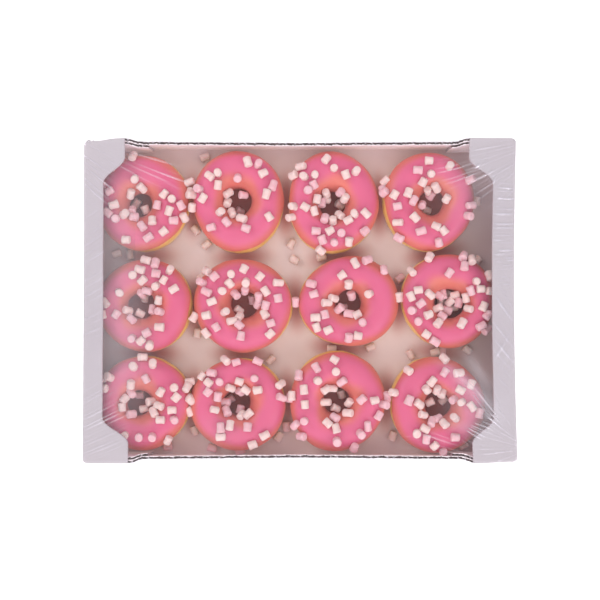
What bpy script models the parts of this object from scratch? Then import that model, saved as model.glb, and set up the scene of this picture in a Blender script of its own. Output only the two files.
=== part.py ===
"""Bakery tray of pink iced ring doughnuts with mini marshmallows, sealed under clear film.

The tray is one folded sheet of white corrugated board: a floor, two lower long walls whose
raw top edges bow inwards, and two end walls folded over into a flat flange that widens to an
ear at each corner. Twelve ring doughnuts stand in it in four columns and three rows. Each is
a dough ring under a skin of icing with marshmallows stuck to it, and loose marshmallows lie
on the floor. The film is stretched over the flanges and turned under the floor.

Frame: origin at the middle of the pack's underside, +X along the long side, +Y to the back,
+Z up. Units are metres.
"""
import math

import bmesh
import bpy
import numpy as np
from mathutils import Euler, Vector
from mathutils.bvhtree import BVHTree

MM = 0.001

# Film
FILM = 0.4 * MM
GAP = 0.3 * MM
FILM_SAG = 5.5 * MM
FILM_EDGE = 0.3 * MM
FILM_MIDDLE_SHARE = 0.55
FILM_RING_SHARES = (0.42, 0.83)
HEM = 35 * MM

# Tray
HALF_LENGTH = 200 * MM
HALF_WIDTH = 150 * MM
BOARD = 3 * MM
TRAY_Z = FILM + GAP
FLANGE_HEIGHT = 55 * MM
WALL_HEIGHT = 48 * MM
WALL_UNDER_EAR = FLANGE_HEIGHT - BOARD + 0.5 * MM
MID_HEIGHT = 26 * MM
CORNER = 4 * MM
FOLD = 2.5 * MM
FLANGE = {-1: 18 * MM, 1: 20.5 * MM}
EAR_REACH = {(-1, 1): 38 * MM, (1, 1): 43 * MM, (-1, -1): 42 * MM, (1, -1): 41 * MM}
EAR_WIDTH = 42 * MM
EAR_STRAIGHT = 18 * MM
EAR_POINTS = 5
FREE_HALF = 130 * MM
BOWED_HALF = 143 * MM
LONG_BOW = {-1: 4.5 * MM, 1: 3.7 * MM}
END_BOW = {-1: 0.5 * MM, 1: 2.5 * MM}
LEAN_POWER = 1.5
TAB_HEIGHT = 50 * MM
LONG_STATIONS = [x * MM for x in (-195, -157, -143, -75, 0, 75, 143, 157, 195)]
END_STATIONS = [share * HALF_WIDTH for share in (-0.5, 0, 0.5)]
BOW_EVENNESS = 0.3
SAME_PLANE = 0.2

# Doughnuts
FLOOR_Z = TRAY_Z + BOARD
DOUGH_HEIGHT = 33 * MM
EQUATOR = 0.44
SIDE_POWER = 0.9
TOP_POWER = 0.85
BASE_POWER = 0.6
BASE_FLAT = 0.96
UNEVEN = 0.012
TILT = 0.03
ICING_LIFT = 2.0 * MM
ICING_EDGE_LIFT = 1.2 * MM
RING_STEPS = 16
TOP_ANGLES = (52, 90, 130)
BASE_ANGLES = (215, 250, 290, 322, 356)
ICING_EDGE = 24
ICING_EDGE_WAVE = 11
ICING_RIPPLE = 4.4
HOLE_EDGE = 178
HOLE_EDGE_WAVE = 6

# Marshmallows
MALLOW_RADIUS = 4.3 * MM
MALLOW_LENGTH = 9.2 * MM
SHORTEST = 0.9
LENGTH_SPREAD = 0.25
MALLOW_SIDES = 6
MALLOW_SINK = 0.9 * MM
MALLOW_CLEAR = 10.3 * MM
FUSED_PER_RING = 9
PLACE_TRIES = 400
CROWD_SHARE = 0.5
CROWD_SPREAD = 2.4
STANDING_SHARE = 0.2
PLACE_FROM = 62
PLACE_ACROSS = 66
NUDGE = 0.02
ROLL_STEP = 0.3

# One row for each doughnut, in millimetres from the middle of the tray: centre x and y,
# half width and half depth, the hole's shift in x and y, the hole's radius, and the angle
# of the side where most of its marshmallows lie.
RINGS = {
    "r1c1": (-148.1, 92.5, 44.0, 44.8, -2.8, -1.4, 10.5, 250),
    "r1c2": (-58.0, 93.9, 43.4, 47.6, -0.5, 0.0, 12.5, 180),
    "r1c3": (31.1, 92.9, 43.0, 47.6, -0.5, -1.4, 12.0, 200),
    "r1c4": (121.2, 93.9, 43.4, 46.2, 3.3, -0.5, 11.5, 160),
    "r2c1": (-145.8, -4.2, 44.0, 44.3, -4.2, 0.0, 12.3, 220),
    "r2c2": (-53.3, -4.2, 46.2, 44.1, 1.0, 1.0, 12.5, 200),
    "r2c3": (45.8, -0.5, 46.8, 42.7, 0.0, -1.0, 11.5, 210),
    "r2c4": (139.2, 0.5, 43.4, 44.8, 2.4, -2.8, 13.5, 315),
    "r3c1": (-146.7, -95.8, 43.4, 44.8, -4.7, -0.5, 11.5, 150),
    "r3c2": (-58.0, -97.2, 44.3, 43.9, -1.4, 1.4, 12.0, 110),
    "r3c3": (34.9, -93.9, 44.8, 47.2, -0.5, 0.0, 12.0, 120),
    "r3c4": (128.8, -97.6, 44.3, 45.3, 1.0, -0.5, 12.0, 230),
}

# Loose marshmallows on the floor, in millimetres: x, y and the way the piece points in
# degrees. The last three lie in the hole of one doughnut.
LOOSE = [
    (-91.6, 139.0, 20), (-167.5, 138.0, 75), (-100.3, 68.6, 130), (-90.0, 54.5, 40),
    (-176.0, 46.0, 15), (-8.2, 55.2, 60), (-5.3, 40.0, 150),
    (-94.5, 23.5, 35), (-98.4, -30.5, 80), (-101.0, -124.0, 110),
    (-84.0, -140.5, 165), (-28.0, -56.0, 45), (-13.0, -120.0, 95), (30.5, -45.5, 0),
    (88.8, -129.0, 70), (67.7, -44.0, 25), (106.0, -51.0, 120), (170.3, 39.0, 50),
    (156.5, -137.5, 30), (137.0, -47.5, 85), (160.5, -46.5, 140),
    (136.5, 4.0, 20), (147.5, 1.5, 100), (139.5, -7.5, 155),
]


def make_material(name, colour, roughness, alpha=1.0):
    """A plain Principled material, shared by the objects of one kind."""
    material = bpy.data.materials.new(name)
    material.use_nodes = True
    shader = material.node_tree.nodes["Principled BSDF"]
    shader.inputs["Base Color"].default_value = (*colour, 1.0)
    shader.inputs["Roughness"].default_value = roughness
    shader.inputs["Metallic"].default_value = 0.0
    shader.inputs["Alpha"].default_value = alpha
    return material


def add_object(name, vertices, faces, material=None):
    """Link a mesh object whose faces all point outwards."""
    mesh = bpy.data.meshes.new(name)
    mesh.from_pydata([tuple(v) for v in vertices], [], faces)
    shell = bmesh.new()
    shell.from_mesh(mesh)
    bmesh.ops.recalc_face_normals(shell, faces=shell.faces)
    shell.to_mesh(mesh)
    shell.free()
    thing = bpy.data.objects.new(name, mesh)
    bpy.context.scene.collection.objects.link(thing)
    if material:
        mesh.materials.append(material)
    return thing


def loft(name, sections, material=None):
    """A solid through closed outlines of equal length, with its two ends capped."""
    count = len(sections[0])
    vertices = [point for section in sections for point in section]
    faces = []
    for start in range(0, count * (len(sections) - 1), count):
        for i in range(count):
            j = (i + 1) % count
            faces.append((start + i, start + j, start + count + j, start + count + i))
    faces.append(tuple(range(count)))
    faces.append(tuple(range(len(vertices) - count, len(vertices))))
    return add_object(name, vertices, faces, material)


def prism(name, outline, low, high, material=None):
    """A flat board with the given plan outline."""
    sections = [[(x, y, z) for x, y in outline] for z in (low, high)]
    return loft(name, sections, material)


def fuse(target, pieces):
    """Join solids to the target with one Boolean union on a collection, then remove them."""
    group = bpy.data.collections.new(target.name + " pieces")
    bpy.context.scene.collection.children.link(group)
    for piece in pieces:
        group.objects.link(piece)
    union = target.modifiers.new("fuse", "BOOLEAN")
    union.operation = "UNION"
    union.operand_type = "COLLECTION"
    union.collection = group
    union.solver = "EXACT"
    bpy.context.view_layer.update()
    view = bpy.context.evaluated_depsgraph_get()
    joined = bpy.data.meshes.new_from_object(target.evaluated_get(view))
    target.modifiers.clear()
    target.data = joined
    for piece in pieces:
        bpy.data.objects.remove(piece)
    bpy.data.collections.remove(group)


def merge_planes(thing):
    """Join the faces that lie in one plane, which a union leaves cut up."""
    shell = bmesh.new()
    shell.from_mesh(thing.data)
    bmesh.ops.dissolve_limit(shell, angle_limit=math.radians(SAME_PLANE), verts=shell.verts,
                             edges=shell.edges)
    shell.to_mesh(thing.data)
    shell.free()


def long_bow(side, x):
    """How far a long wall's top leans inwards: nothing under the ears, most at mid-length."""
    if abs(x) > BOWED_HALF:
        return 0.0
    return LONG_BOW[side] * (1.0 - BOW_EVENNESS * abs(x) / BOWED_HALF)


def end_bow(side, y):
    """How far an end's flange bows inwards, most at the middle of the end."""
    return END_BOW[side] * (1.0 - (y / HALF_WIDTH) ** 2)


def lean(z):
    """Share of the bow reached at a height, nothing at the floor and all at the top."""
    return min(1.0, max(0.0, z / WALL_HEIGHT)) ** LEAN_POWER


def wall_top(x):
    """Height of a long wall's raw edge: it drops just inside each ear."""
    return WALL_UNDER_EAR if abs(x) > BOWED_HALF else WALL_HEIGHT


def corner_arc(turn):
    """Inset in x and y of the rounded plan corner, turn running from 0 to 90 degrees."""
    angle = math.radians(turn)
    return CORNER * (1 - math.cos(angle)), CORNER * (1 - math.sin(angle))


def long_board(name, side, stations, depth, top):
    """A board standing along the front or back, its outer face depth inside the tray."""
    sections = []
    for x in stations:
        heights = (0.0, MID_HEIGHT, top(x))
        faces = []
        for inside in (depth, depth + BOARD):
            reach = [HALF_WIDTH - inside - long_bow(side, x) * lean(z) for z in heights]
            faces.append([(x, side * r, TRAY_Z + z) for r, z in zip(reach, heights)])
        sections.append(faces[0] + faces[1][::-1])
    return loft(name, sections)


def end_board(side):
    """An end wall folded over at the top into its flange, swept across the tray."""
    soft = FOLD * (1 - math.cos(math.radians(45)))
    profile = [
        (0, 0), (0, MID_HEIGHT), (0, FLANGE_HEIGHT - FOLD),
        (soft, FLANGE_HEIGHT - soft), (FOLD, FLANGE_HEIGHT),
        (FLANGE[side], FLANGE_HEIGHT), (FLANGE[side], FLANGE_HEIGHT - BOARD),
        (BOARD, FLANGE_HEIGHT - BOARD), (BOARD, 0),
    ]
    quarter = [(corner_arc(turn)[0], HALF_WIDTH - corner_arc(turn)[1]) for turn in (90, 45, 0)]
    stations = [(inset, -y) for inset, y in quarter] + [(0, y) for y in END_STATIONS]
    stations += [(inset, y) for inset, y in quarter[::-1]]
    sections = []
    for inset, y in stations:
        section = []
        for u, z in profile:
            x = HALF_LENGTH - inset - u - end_bow(side, y) * lean(z)
            section.append((side * x, y, TRAY_Z + z))
        sections.append(section)
    return loft("end wall", sections)


def ear(side, back):
    """The flat ear that widens the flange at one corner, with an S-curved inner edge."""
    reach = EAR_REACH[(side, back)]
    flange = FLANGE[side]
    outline = [(BOARD, EAR_WIDTH + BOARD), (BOARD, CORNER), (CORNER, 0), (reach - CORNER, 0),
               (reach, CORNER)]
    for step in range(EAR_POINTS + 1):
        share = step / EAR_POINTS
        across = EAR_STRAIGHT + (EAR_WIDTH - EAR_STRAIGHT) * share
        width = flange + (reach - flange) * 0.5 * (1 + math.cos(math.pi * share))
        outline.append((width, across))
    outline.append((flange - BOARD, EAR_WIDTH + BOARD))
    plan = [(side * (HALF_LENGTH - u), back * (HALF_WIDTH - v)) for u, v in outline]
    top = TRAY_Z + FLANGE_HEIGHT
    return prism("ear", plan, top - BOARD, top)


def floor_outline():
    """The tray's plan with rounded corners, counter-clockwise."""
    quarter = [corner_arc(turn) for turn in (0, 45, 90)]
    outline = []
    for side, back in ((1, 1), (-1, 1), (-1, -1), (1, -1)):
        corner = [(side * (HALF_LENGTH - u), back * (HALF_WIDTH - v)) for u, v in quarter]
        outline += corner if side == back else corner[::-1]
    return outline


def make_tray(material):
    """The whole tray as one solid of board."""
    tray = prism("tray", floor_outline(), TRAY_Z, TRAY_Z + BOARD, material)
    boards = [end_board(side) for side in (-1, 1)]
    for side in (-1, 1):
        boards.append(long_board("long wall", side, LONG_STATIONS, 0.0, wall_top))
        for stations in (LONG_STATIONS[:3], LONG_STATIONS[-3:]):
            boards.append(long_board("tab", side, stations, BOARD - GAP, lambda x: TAB_HEIGHT))
    boards += [ear(side, back) for side, back in EAR_REACH]
    fuse(tray, boards)
    merge_planes(tray)
    return tray


def film_columns():
    """Points round the tray's outline with the outward direction and the bow at each."""
    columns = []
    for side, back in ((1, 1), (-1, 1), (-1, -1), (1, -1)):
        corner = []
        for turn in (0, 45, 90):
            u, v = corner_arc(turn)
            out = (side * math.cos(math.radians(turn)), back * math.sin(math.radians(turn)))
            corner.append((side * (HALF_LENGTH - u), back * (HALF_WIDTH - v), out, 0.0))
        columns += corner if side == back else corner[::-1]
        if side == back:
            inner = LONG_STATIONS[1:-1]
            run = inner[::-1] if back == 1 else inner
            columns += [(x, back * HALF_WIDTH, (0, back), long_bow(back, x)) for x in run]
        else:
            run = END_STATIONS if side == 1 else END_STATIONS[::-1]
            columns += [(side * HALF_LENGTH, y, (side, 0), end_bow(side, y)) for y in run]
    return columns


def film_height(x, y):
    """Height of the stretched film over the tray: a saddle between the two flanges."""
    free = max(0.0, 1.0 - (x / FREE_HALF) ** 2)
    edge = min(1.0, abs(y) / HALF_WIDTH) ** 2
    across = FILM_MIDDLE_SHARE + (1 - FILM_MIDDLE_SHARE) * edge
    return TRAY_Z + FLANGE_HEIGHT - FILM_SAG * free * across


def film_rings(offset):
    """Closed rings of points from the middle of the top out, down the sides and under."""
    columns = film_columns()
    rings = [[(x * s, y * s, film_height(x * s, y * s) + offset) for x, y, out, bow in columns]
             for s in FILM_RING_SHARES]

    def ring(push, rise, height):
        points = []
        for x, y, out, bow in columns:
            reach = push - bow * (1.0 if height is None else lean(height))
            z = film_height(x, y) + rise if height is None else TRAY_Z + height
            points.append((x + out[0] * reach, y + out[1] * reach, z))
        return points

    rings.append(ring(offset - FILM_EDGE, offset, None))
    rings.append(ring(offset, offset - FILM_EDGE, None))
    rings.append(ring(offset, 0.0, MID_HEIGHT))
    rings.append(ring(offset, 0.0, -offset))
    along, across = 1 - HEM / HALF_LENGTH, 1 - HEM / HALF_WIDTH
    rings.append([(x * along, y * across, TRAY_Z - offset) for x, y, out, bow in columns])
    return rings


def taut_square(vertices, a, b, c, d):
    """Two triangles for one square of film, cut where that keeps the film furthest out."""
    first = sum((vertices[a][k] + vertices[c][k]) ** 2 for k in range(3))
    second = sum((vertices[b][k] + vertices[d][k]) ** 2 for k in range(3))
    return [(a, b, c), (a, c, d)] if first >= second else [(a, b, d), (b, c, d)]


def make_film(material):
    """The stretched film as one thin shell, open under the floor inside its hem."""
    vertices = []
    faces = []
    starts = []
    for offset in (GAP, GAP + FILM):
        starts.append(len(vertices))
        rings = film_rings(offset)
        vertices.append((0.0, 0.0, film_height(0.0, 0.0) + offset))
        vertices += [point for ring in rings for point in ring]
        count = len(rings[0])
        first = starts[-1] + 1
        faces += [(first - 1, first + i, first + (i + 1) % count) for i in range(count)]
        for start in range(first, first + count * (len(rings) - 1), count):
            for i in range(count):
                j = (i + 1) % count
                corners = (start + i, start + j, start + count + j, start + count + i)
                faces += taut_square(vertices, *corners)
    last = [start + 1 + count * (len(rings) - 1) for start in starts]
    for i in range(count):
        j = (i + 1) % count
        faces.append((last[0] + i, last[0] + j, last[1] + j, last[1] + i))
    return add_object("film", vertices, faces, material)


def signed_power(value, power):
    """A cosine or sine drawn out towards a squarer curve."""
    return np.sign(value) * np.abs(value) ** power


def ring_points(row, seed, turn, around, lift):
    """Points of one doughnut about its own centre.

    At each angle round the ring the section is a squared-off ellipse between the hole's wall
    and the outer rim, flat underneath. turn goes round the ring and around goes round the
    section, from the outer rim over the top to the hole. lift pushes the surface outwards.
    """
    half_x, half_y, shift_x, shift_y, hole = [value * MM for value in row[2:7]]
    draw = np.random.RandomState(seed)
    phase = draw.uniform(0, 2 * math.pi, 3)
    wave = UNEVEN * (np.cos(2 * turn + phase[0]) + np.cos(3 * turn + phase[1]))
    outer = half_x * half_y / np.hypot(half_y * np.cos(turn), half_x * np.sin(turn))
    outer = outer * (1 + wave - 0.5 * UNEVEN)
    inner = hole * (1 + 2 * wave) + ICING_LIFT
    direction = np.stack([np.cos(turn), np.sin(turn)])
    shift = np.array([shift_x, shift_y]).reshape((2,) + (1,) * turn.ndim)
    rim = direction * outer
    wall = direction * inner + shift
    middle = (rim + wall) / 2
    half = (rim - wall) / 2
    width = np.hypot(half[0], half[1])
    sideways = signed_power(np.cos(around), SIDE_POWER) * (1 + lift / width)
    sine = np.sin(around)
    above = DOUGH_HEIGHT * (1 - EQUATOR) * (1 + TILT * np.cos(turn + phase[2])) + lift
    below = DOUGH_HEIGHT * EQUATOR
    under = np.minimum(1.0, np.abs(sine) ** BASE_POWER / BASE_FLAT)
    height = below + np.where(sine > 0, above * np.abs(sine) ** TOP_POWER, -below * under)
    plan = middle + half * sideways
    return np.stack([plan[0], plan[1], height], axis=-1)


def icing_edges(turn, row, seed):
    """Section angles of the icing's outer edge and of its edge in the hole, both wavy.

    The outer edge stands higher on the side that faces the middle of the tray, so most of
    the bare dough shows there.
    """
    bare_side = math.atan2(-row[1], -row[0])
    draw = np.random.RandomState(seed + 100)
    phase = draw.uniform(0, 2 * math.pi, 2)
    outer = ICING_EDGE + ICING_EDGE_WAVE * np.cos(turn - bare_side)
    outer = outer + ICING_RIPPLE * np.cos(3 * turn + phase[0])
    inner = HOLE_EDGE + HOLE_EDGE_WAVE * np.cos(2 * turn + phase[1])
    return np.radians(outer), np.radians(inner)


def closed_ring(name, loops, material, turned_from=None):
    """A solid ring from rows of points that close both ways.

    Each square is cut into two triangles. From the row turned_from on it is cut the other
    way, so that the icing's inner side has the same triangles as the dough that it covers.
    """
    rows, count = loops.shape[:2]
    faces = []
    for row in range(rows):
        start = row * count
        after = (row + 1) % rows * count
        for i in range(count):
            j = (i + 1) % count
            if turned_from is None or row < turned_from:
                faces += [(start + i, start + j, after + j), (start + i, after + j, after + i)]
            else:
                faces += [(start + i, start + j, after + i), (start + j, after + j, after + i)]
    return add_object(name, loops.reshape(-1, 3), faces, material)


def make_ring(name, row, seed, dough, icing):
    """One doughnut: a dough ring and the icing skin a small gap above it."""
    turn = np.arange(RING_STEPS) * 2 * math.pi / RING_STEPS
    edge, hole_edge = icing_edges(turn, row, seed)
    tops = [np.full(RING_STEPS, math.radians(angle)) for angle in TOP_ANGLES]
    bases = [np.full(RING_STEPS, math.radians(angle)) for angle in BASE_ANGLES]
    covered = np.array([edge] + tops + [hole_edge])
    whole = np.array([edge] + tops + [hole_edge] + bases)
    turns = np.broadcast_to(turn, whole.shape)
    body = closed_ring("dough_" + name, ring_points(row, seed, turns, whole, 0.0), dough)
    turns = turns[:len(covered)]
    lifts = np.full(covered.shape, ICING_LIFT)
    lifts[[0, -1]] = ICING_EDGE_LIFT
    outside = ring_points(row, seed, turns, covered, lifts)
    inside = ring_points(row, seed, turns, covered, GAP)
    loops = np.concatenate([outside, inside[::-1]])
    skin = closed_ring("icing_" + name, loops, icing, turned_from=len(covered))
    place = Vector((row[0] * MM, row[1] * MM, FLOOR_Z + GAP))
    body.location = place
    skin.parent = body
    return body, skin


def mallow(name, centre, axis, roll, length, material=None):
    """One marshmallow: a short many-sided cylinder, its length along the given axis."""
    turns = [2 * math.pi * i / MALLOW_SIDES for i in range(MALLOW_SIDES)]
    circle = [(MALLOW_RADIUS * math.cos(a), MALLOW_RADIUS * math.sin(a)) for a in turns]
    piece = prism(name, circle, -length / 2, length / 2, material)
    aim = Vector(axis).to_track_quat("Z", "Y")
    piece.rotation_mode = "QUATERNION"
    piece.rotation_quaternion = aim @ Euler((0, 0, roll)).to_quaternion()
    piece.location = centre
    return piece


def fused_places(row, seed, taken):
    """Where marshmallows stick to one doughnut, by a seeded rule.

    Each try draws an angle, half of the time close to the crowded side, and a place across
    the top of the ring. A try too near an earlier marshmallow on any doughnut is dropped.
    """
    draw = np.random.RandomState(seed + 200)
    heavy = math.radians(row[7])
    origin = np.array([row[0] * MM, row[1] * MM, FLOOR_Z + GAP])
    places = []
    for attempt in range(PLACE_TRIES):
        crowded, spread, any_turn, across, spin, stands, size = draw.uniform(0, 1, 7)
        if crowded < CROWD_SHARE:
            turn = heavy + (spread - 0.5) * CROWD_SPREAD
        else:
            turn = any_turn * 2 * math.pi
        around = math.radians(PLACE_FROM + PLACE_ACROSS * across)
        grid = ring_points(row, seed, np.array([turn, turn + NUDGE, turn]),
                           np.array([around, around, around + NUDGE]), ICING_LIFT)
        along = grid[1] - grid[0]
        down = grid[2] - grid[0]
        normal = np.cross(along, down)
        normal = normal / np.linalg.norm(normal)
        if normal[2] < 0:
            normal = -normal
        centre = grid[0] + origin
        if taken and np.linalg.norm(np.array(taken) - centre, axis=1).min() < MALLOW_CLEAR:
            continue
        along = along / np.linalg.norm(along)
        side = np.cross(normal, along)
        axis = along * math.cos(spin * math.pi) + side * math.sin(spin * math.pi)
        upright = stands < STANDING_SHARE
        length = MALLOW_LENGTH * (SHORTEST + LENGTH_SPREAD * size)
        places.append((grid[0], normal, normal if upright else axis, upright, length))
        taken.append(centre)
        if len(places) == FUSED_PER_RING:
            break
    return places


def fuse_mallows(skin, row, seed, taken):
    """Stick marshmallows to one doughnut's icing, each sunk slightly into its facets."""
    surface = BVHTree.FromPolygons([v.co for v in skin.data.vertices],
                                   [tuple(p.vertices) for p in skin.data.polygons])
    origin = Vector((row[0] * MM, row[1] * MM, FLOOR_Z + GAP))
    pieces = []
    for spot, normal, axis, stands, length in fused_places(row, seed, taken):
        touch = surface.find_nearest(Vector(spot))[0]
        rise = (length / 2 if stands else MALLOW_RADIUS) - MALLOW_SINK
        centre = origin + touch + Vector(normal) * rise
        pieces.append(mallow("piece", centre, axis, ROLL_STEP * len(pieces), length))
    fuse(skin, pieces)


def make_loose(material):
    """Loose marshmallows lying on the floor, one object each."""
    for index, (x, y, heading) in enumerate(LOOSE):
        angle = math.radians(heading)
        lift = MALLOW_RADIUS * math.cos(math.pi / MALLOW_SIDES)
        centre = (x * MM, y * MM, FLOOR_Z + GAP + lift)
        mallow(f"marshmallow_{index + 1:02d}", centre, (math.cos(angle), math.sin(angle), 0),
               0.0, MALLOW_LENGTH, material)


def main():
    for thing in list(bpy.data.objects):
        bpy.data.objects.remove(thing)
    board = make_material("white corrugated board", (0.62, 0.56, 0.61), 0.75)
    wrap = make_material("clear film", (0.9, 0.9, 0.92), 0.1, 0.15)
    dough = make_material("fried dough", (0.68, 0.35, 0.15), 0.7)
    icing = make_material("pink icing", (0.79, 0.17, 0.29), 0.35)
    sweet = make_material("marshmallow", (0.87, 0.72, 0.68), 0.8)
    make_tray(board)
    make_film(wrap)
    taken = []
    for seed, (name, row) in enumerate(RINGS.items()):
        body, skin = make_ring(name, row, seed, dough, icing)
        bpy.context.view_layer.update()
        fuse_mallows(skin, row, seed, taken)
    make_loose(sweet)


main()
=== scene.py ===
# %% [markdown]
# A bakery tray of pink iced ring doughnuts, seen from above through its clear film.
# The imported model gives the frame: where the tray, the film and every doughnut are. This
# lesson makes the surfaces that the eye sees, piece by piece, each worked out with numpy
# from a formula, and then gives each its finish.

import math
from collections import namedtuple

import bpy
import numpy as np
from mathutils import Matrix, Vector


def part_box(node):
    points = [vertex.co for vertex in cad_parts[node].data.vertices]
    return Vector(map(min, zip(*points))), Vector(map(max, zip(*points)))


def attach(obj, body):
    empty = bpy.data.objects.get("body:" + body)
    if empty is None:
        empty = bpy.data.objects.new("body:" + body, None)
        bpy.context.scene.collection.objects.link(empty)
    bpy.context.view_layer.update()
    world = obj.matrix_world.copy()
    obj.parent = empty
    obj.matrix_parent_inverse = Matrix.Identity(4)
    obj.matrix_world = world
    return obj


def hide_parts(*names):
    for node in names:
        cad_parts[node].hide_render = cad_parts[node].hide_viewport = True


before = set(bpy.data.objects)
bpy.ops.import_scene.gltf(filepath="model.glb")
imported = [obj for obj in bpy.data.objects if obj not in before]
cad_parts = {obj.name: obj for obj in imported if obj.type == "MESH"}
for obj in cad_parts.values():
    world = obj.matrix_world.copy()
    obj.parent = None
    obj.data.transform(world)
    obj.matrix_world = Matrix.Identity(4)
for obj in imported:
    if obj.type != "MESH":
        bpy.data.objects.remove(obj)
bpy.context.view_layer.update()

# %% [markdown]
# Sizes come from the frame where it has them. The rest are the same named values that the
# solids were made from, so a finer surface lands on the coarse one that it stands for. Only
# the icing's outer edge hangs about a millimetre lower here, because a thin skin can.
#
# Where a value differs from side to side, its key says which: -1 is the left end or the
# front, 1 is the right end or the back, and a pair of them is a corner, the end first.

# %% Sizes of the tray and the film
MM = 0.001
GAP = 0.3 * MM
BOARD = 3 * MM
TRAY_LOW, TRAY_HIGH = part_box("tray")
TRAY_Z = TRAY_LOW[2]
HALF_LENGTH = (TRAY_HIGH[0] - TRAY_LOW[0]) / 2
HALF_WIDTH = (TRAY_HIGH[1] - TRAY_LOW[1]) / 2
FLANGE_HEIGHT = TRAY_HIGH[2] - TRAY_Z
WALL_HEIGHT = 48 * MM
CORNER = 4 * MM
FOLD = 2.5 * MM
FLANGE = {-1: 18 * MM, 1: 20.5 * MM}
EAR_REACH = {(-1, 1): 38 * MM, (1, 1): 43 * MM, (-1, -1): 42 * MM, (1, -1): 41 * MM}
EAR_WIDTH = 42 * MM
EAR_STRAIGHT = 18 * MM
LONG_BOW = {-1: 4.5 * MM, 1: 3.7 * MM}
END_BOW = {-1: 0.5 * MM, 1: 2.5 * MM}
BOWED_HALF = 143 * MM
EAR_INNER = 157 * MM
BOW_END = {(-1, 1): 161 * MM, (1, 1): 156 * MM, (-1, -1): 156 * MM, (1, -1): 161 * MM}
FLOOR_Z = TRAY_Z + BOARD
print("tray half sizes:", round(HALF_LENGTH, 4), round(HALF_WIDTH, 4), "flange:", FLANGE_HEIGHT)

# %% Sizes of the doughnuts and the marshmallows
DOUGH_HEIGHT = 33 * MM
EQUATOR = 0.44
SIDE_POWER = 0.9
TOP_POWER = 0.85
BASE_POWER = 0.6
BASE_FLAT = 0.96
UNEVEN = 0.012
TILT = 0.03
ICING_LIFT = 2.0 * MM
ICING_EDGE = 22
ICING_EDGE_WAVE = 8
ICING_RIPPLE = 4.4
HOLE_EDGE = 178
HOLE_EDGE_WAVE = 6
MALLOW_RADIUS = 4.3 * MM
MALLOW_LENGTH = 9.2 * MM

# For each doughnut, in millimetres: centre x and y, half width and half depth, the hole's
# shift in x and y, and the hole's radius. Then the angle of the side where most of its
# marshmallows lie, the angle of a second crowd, and how many it carries.
Ring = namedtuple("Ring", "x y half_x half_y shift_x shift_y hole crowded second carries")
RINGS = {
    "r1c1": Ring(-148.1, 92.5, 44.0, 44.8, -2.8, -1.4, 10.5, 250, 165, 26),
    "r1c2": Ring(-58.0, 93.9, 43.4, 47.6, -0.5, 0.0, 12.5, 180, 280, 22),
    "r1c3": Ring(31.1, 92.9, 43.0, 47.6, -0.5, -1.4, 12.0, 200, 330, 33),
    "r1c4": Ring(121.2, 93.9, 43.4, 46.2, 3.3, -0.5, 11.5, 160, 285, 24),
    "r2c1": Ring(-145.8, -4.2, 44.0, 44.3, -4.2, 0.0, 12.3, 220, 70, 26),
    "r2c2": Ring(-53.3, -4.2, 46.2, 44.1, 1.0, 1.0, 12.5, 200, 60, 30),
    "r2c3": Ring(45.8, -0.5, 46.8, 42.7, 0.0, -1.0, 11.5, 210, 120, 20),
    "r2c4": Ring(139.2, 0.5, 43.4, 44.8, 2.4, -2.8, 13.5, 315, 120, 32),
    "r3c1": Ring(-146.7, -95.8, 43.4, 44.8, -4.7, -0.5, 11.5, 150, 270, 27),
    "r3c2": Ring(-58.0, -97.2, 44.3, 43.9, -1.4, 1.4, 12.0, 110, 285, 28),
    "r3c3": Ring(34.9, -93.9, 44.8, 47.2, -0.5, 0.0, 12.0, 120, 300, 28),
    "r3c4": Ring(128.8, -97.6, 44.3, 45.3, 1.0, -0.5, 12.0, 230, 120, 28),
}
print("doughnuts:", len(RINGS), "marshmallows on them:", sum(r.carries for r in RINGS.values()))

# %% [markdown]
# Every surface here is a grid of points: rows by columns, closed or open each way. One
# function turns such an array into a mesh. foreach_set hands whole arrays to Blender, which
# is far quicker than a Python loop over the points.

# %% Grid and mesh helpers
def grid_quads(rows, columns, close_rows=False, close_columns=False):
    """Corner numbers of every square of a grid, as an array with four columns."""
    r = np.arange(rows if close_rows else rows - 1)
    c = np.arange(columns if close_columns else columns - 1)
    r, c = np.meshgrid(r, c, indexing="ij")
    below = (r + 1) % rows * columns
    across = (c + 1) % columns
    quads = np.stack([r * columns + c, r * columns + across, below + across, below + c], -1)
    return quads.reshape(-1, 4)


def add_object(name, data):
    """An object in the scene that holds a mesh, a light or a camera."""
    made = bpy.data.objects.new(name, data)
    bpy.context.scene.collection.objects.link(made)
    return made


def mesh_piece(name, points, faces, materials, attributes=None, face_material=None):
    """A smooth-shaded object from an array of points and arrays of face corners."""
    if isinstance(faces, np.ndarray):
        faces = [faces]
    mesh = bpy.data.meshes.new(name)
    points = np.asarray(points, dtype=np.float32).reshape(-1, 3)
    corners = np.concatenate([f.ravel() for f in faces]).astype(np.int32)
    sizes = np.concatenate([np.full(len(f), f.shape[1]) for f in faces]).astype(np.int32)
    mesh.vertices.add(len(points))
    mesh.vertices.foreach_set("co", points.ravel())
    mesh.loops.add(len(corners))
    mesh.loops.foreach_set("vertex_index", corners)
    mesh.polygons.add(len(sizes))
    mesh.polygons.foreach_set("loop_start", np.cumsum(sizes) - sizes)
    mesh.polygons.foreach_set("loop_total", sizes)
    if face_material is not None:
        mesh.polygons.foreach_set("material_index", face_material.astype(np.int32))
    mesh.update(calc_edges=True)
    mesh.validate()
    for label, values in (attributes or {}).items():
        layer = mesh.attributes.new(label, "FLOAT", "POINT")
        layer.data.foreach_set("value", np.asarray(values, dtype=np.float32).ravel())
    mesh.shade_smooth()
    for material in materials:
        mesh.materials.append(material)
    piece = add_object(name, mesh)
    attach(piece, "root")
    return piece


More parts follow.
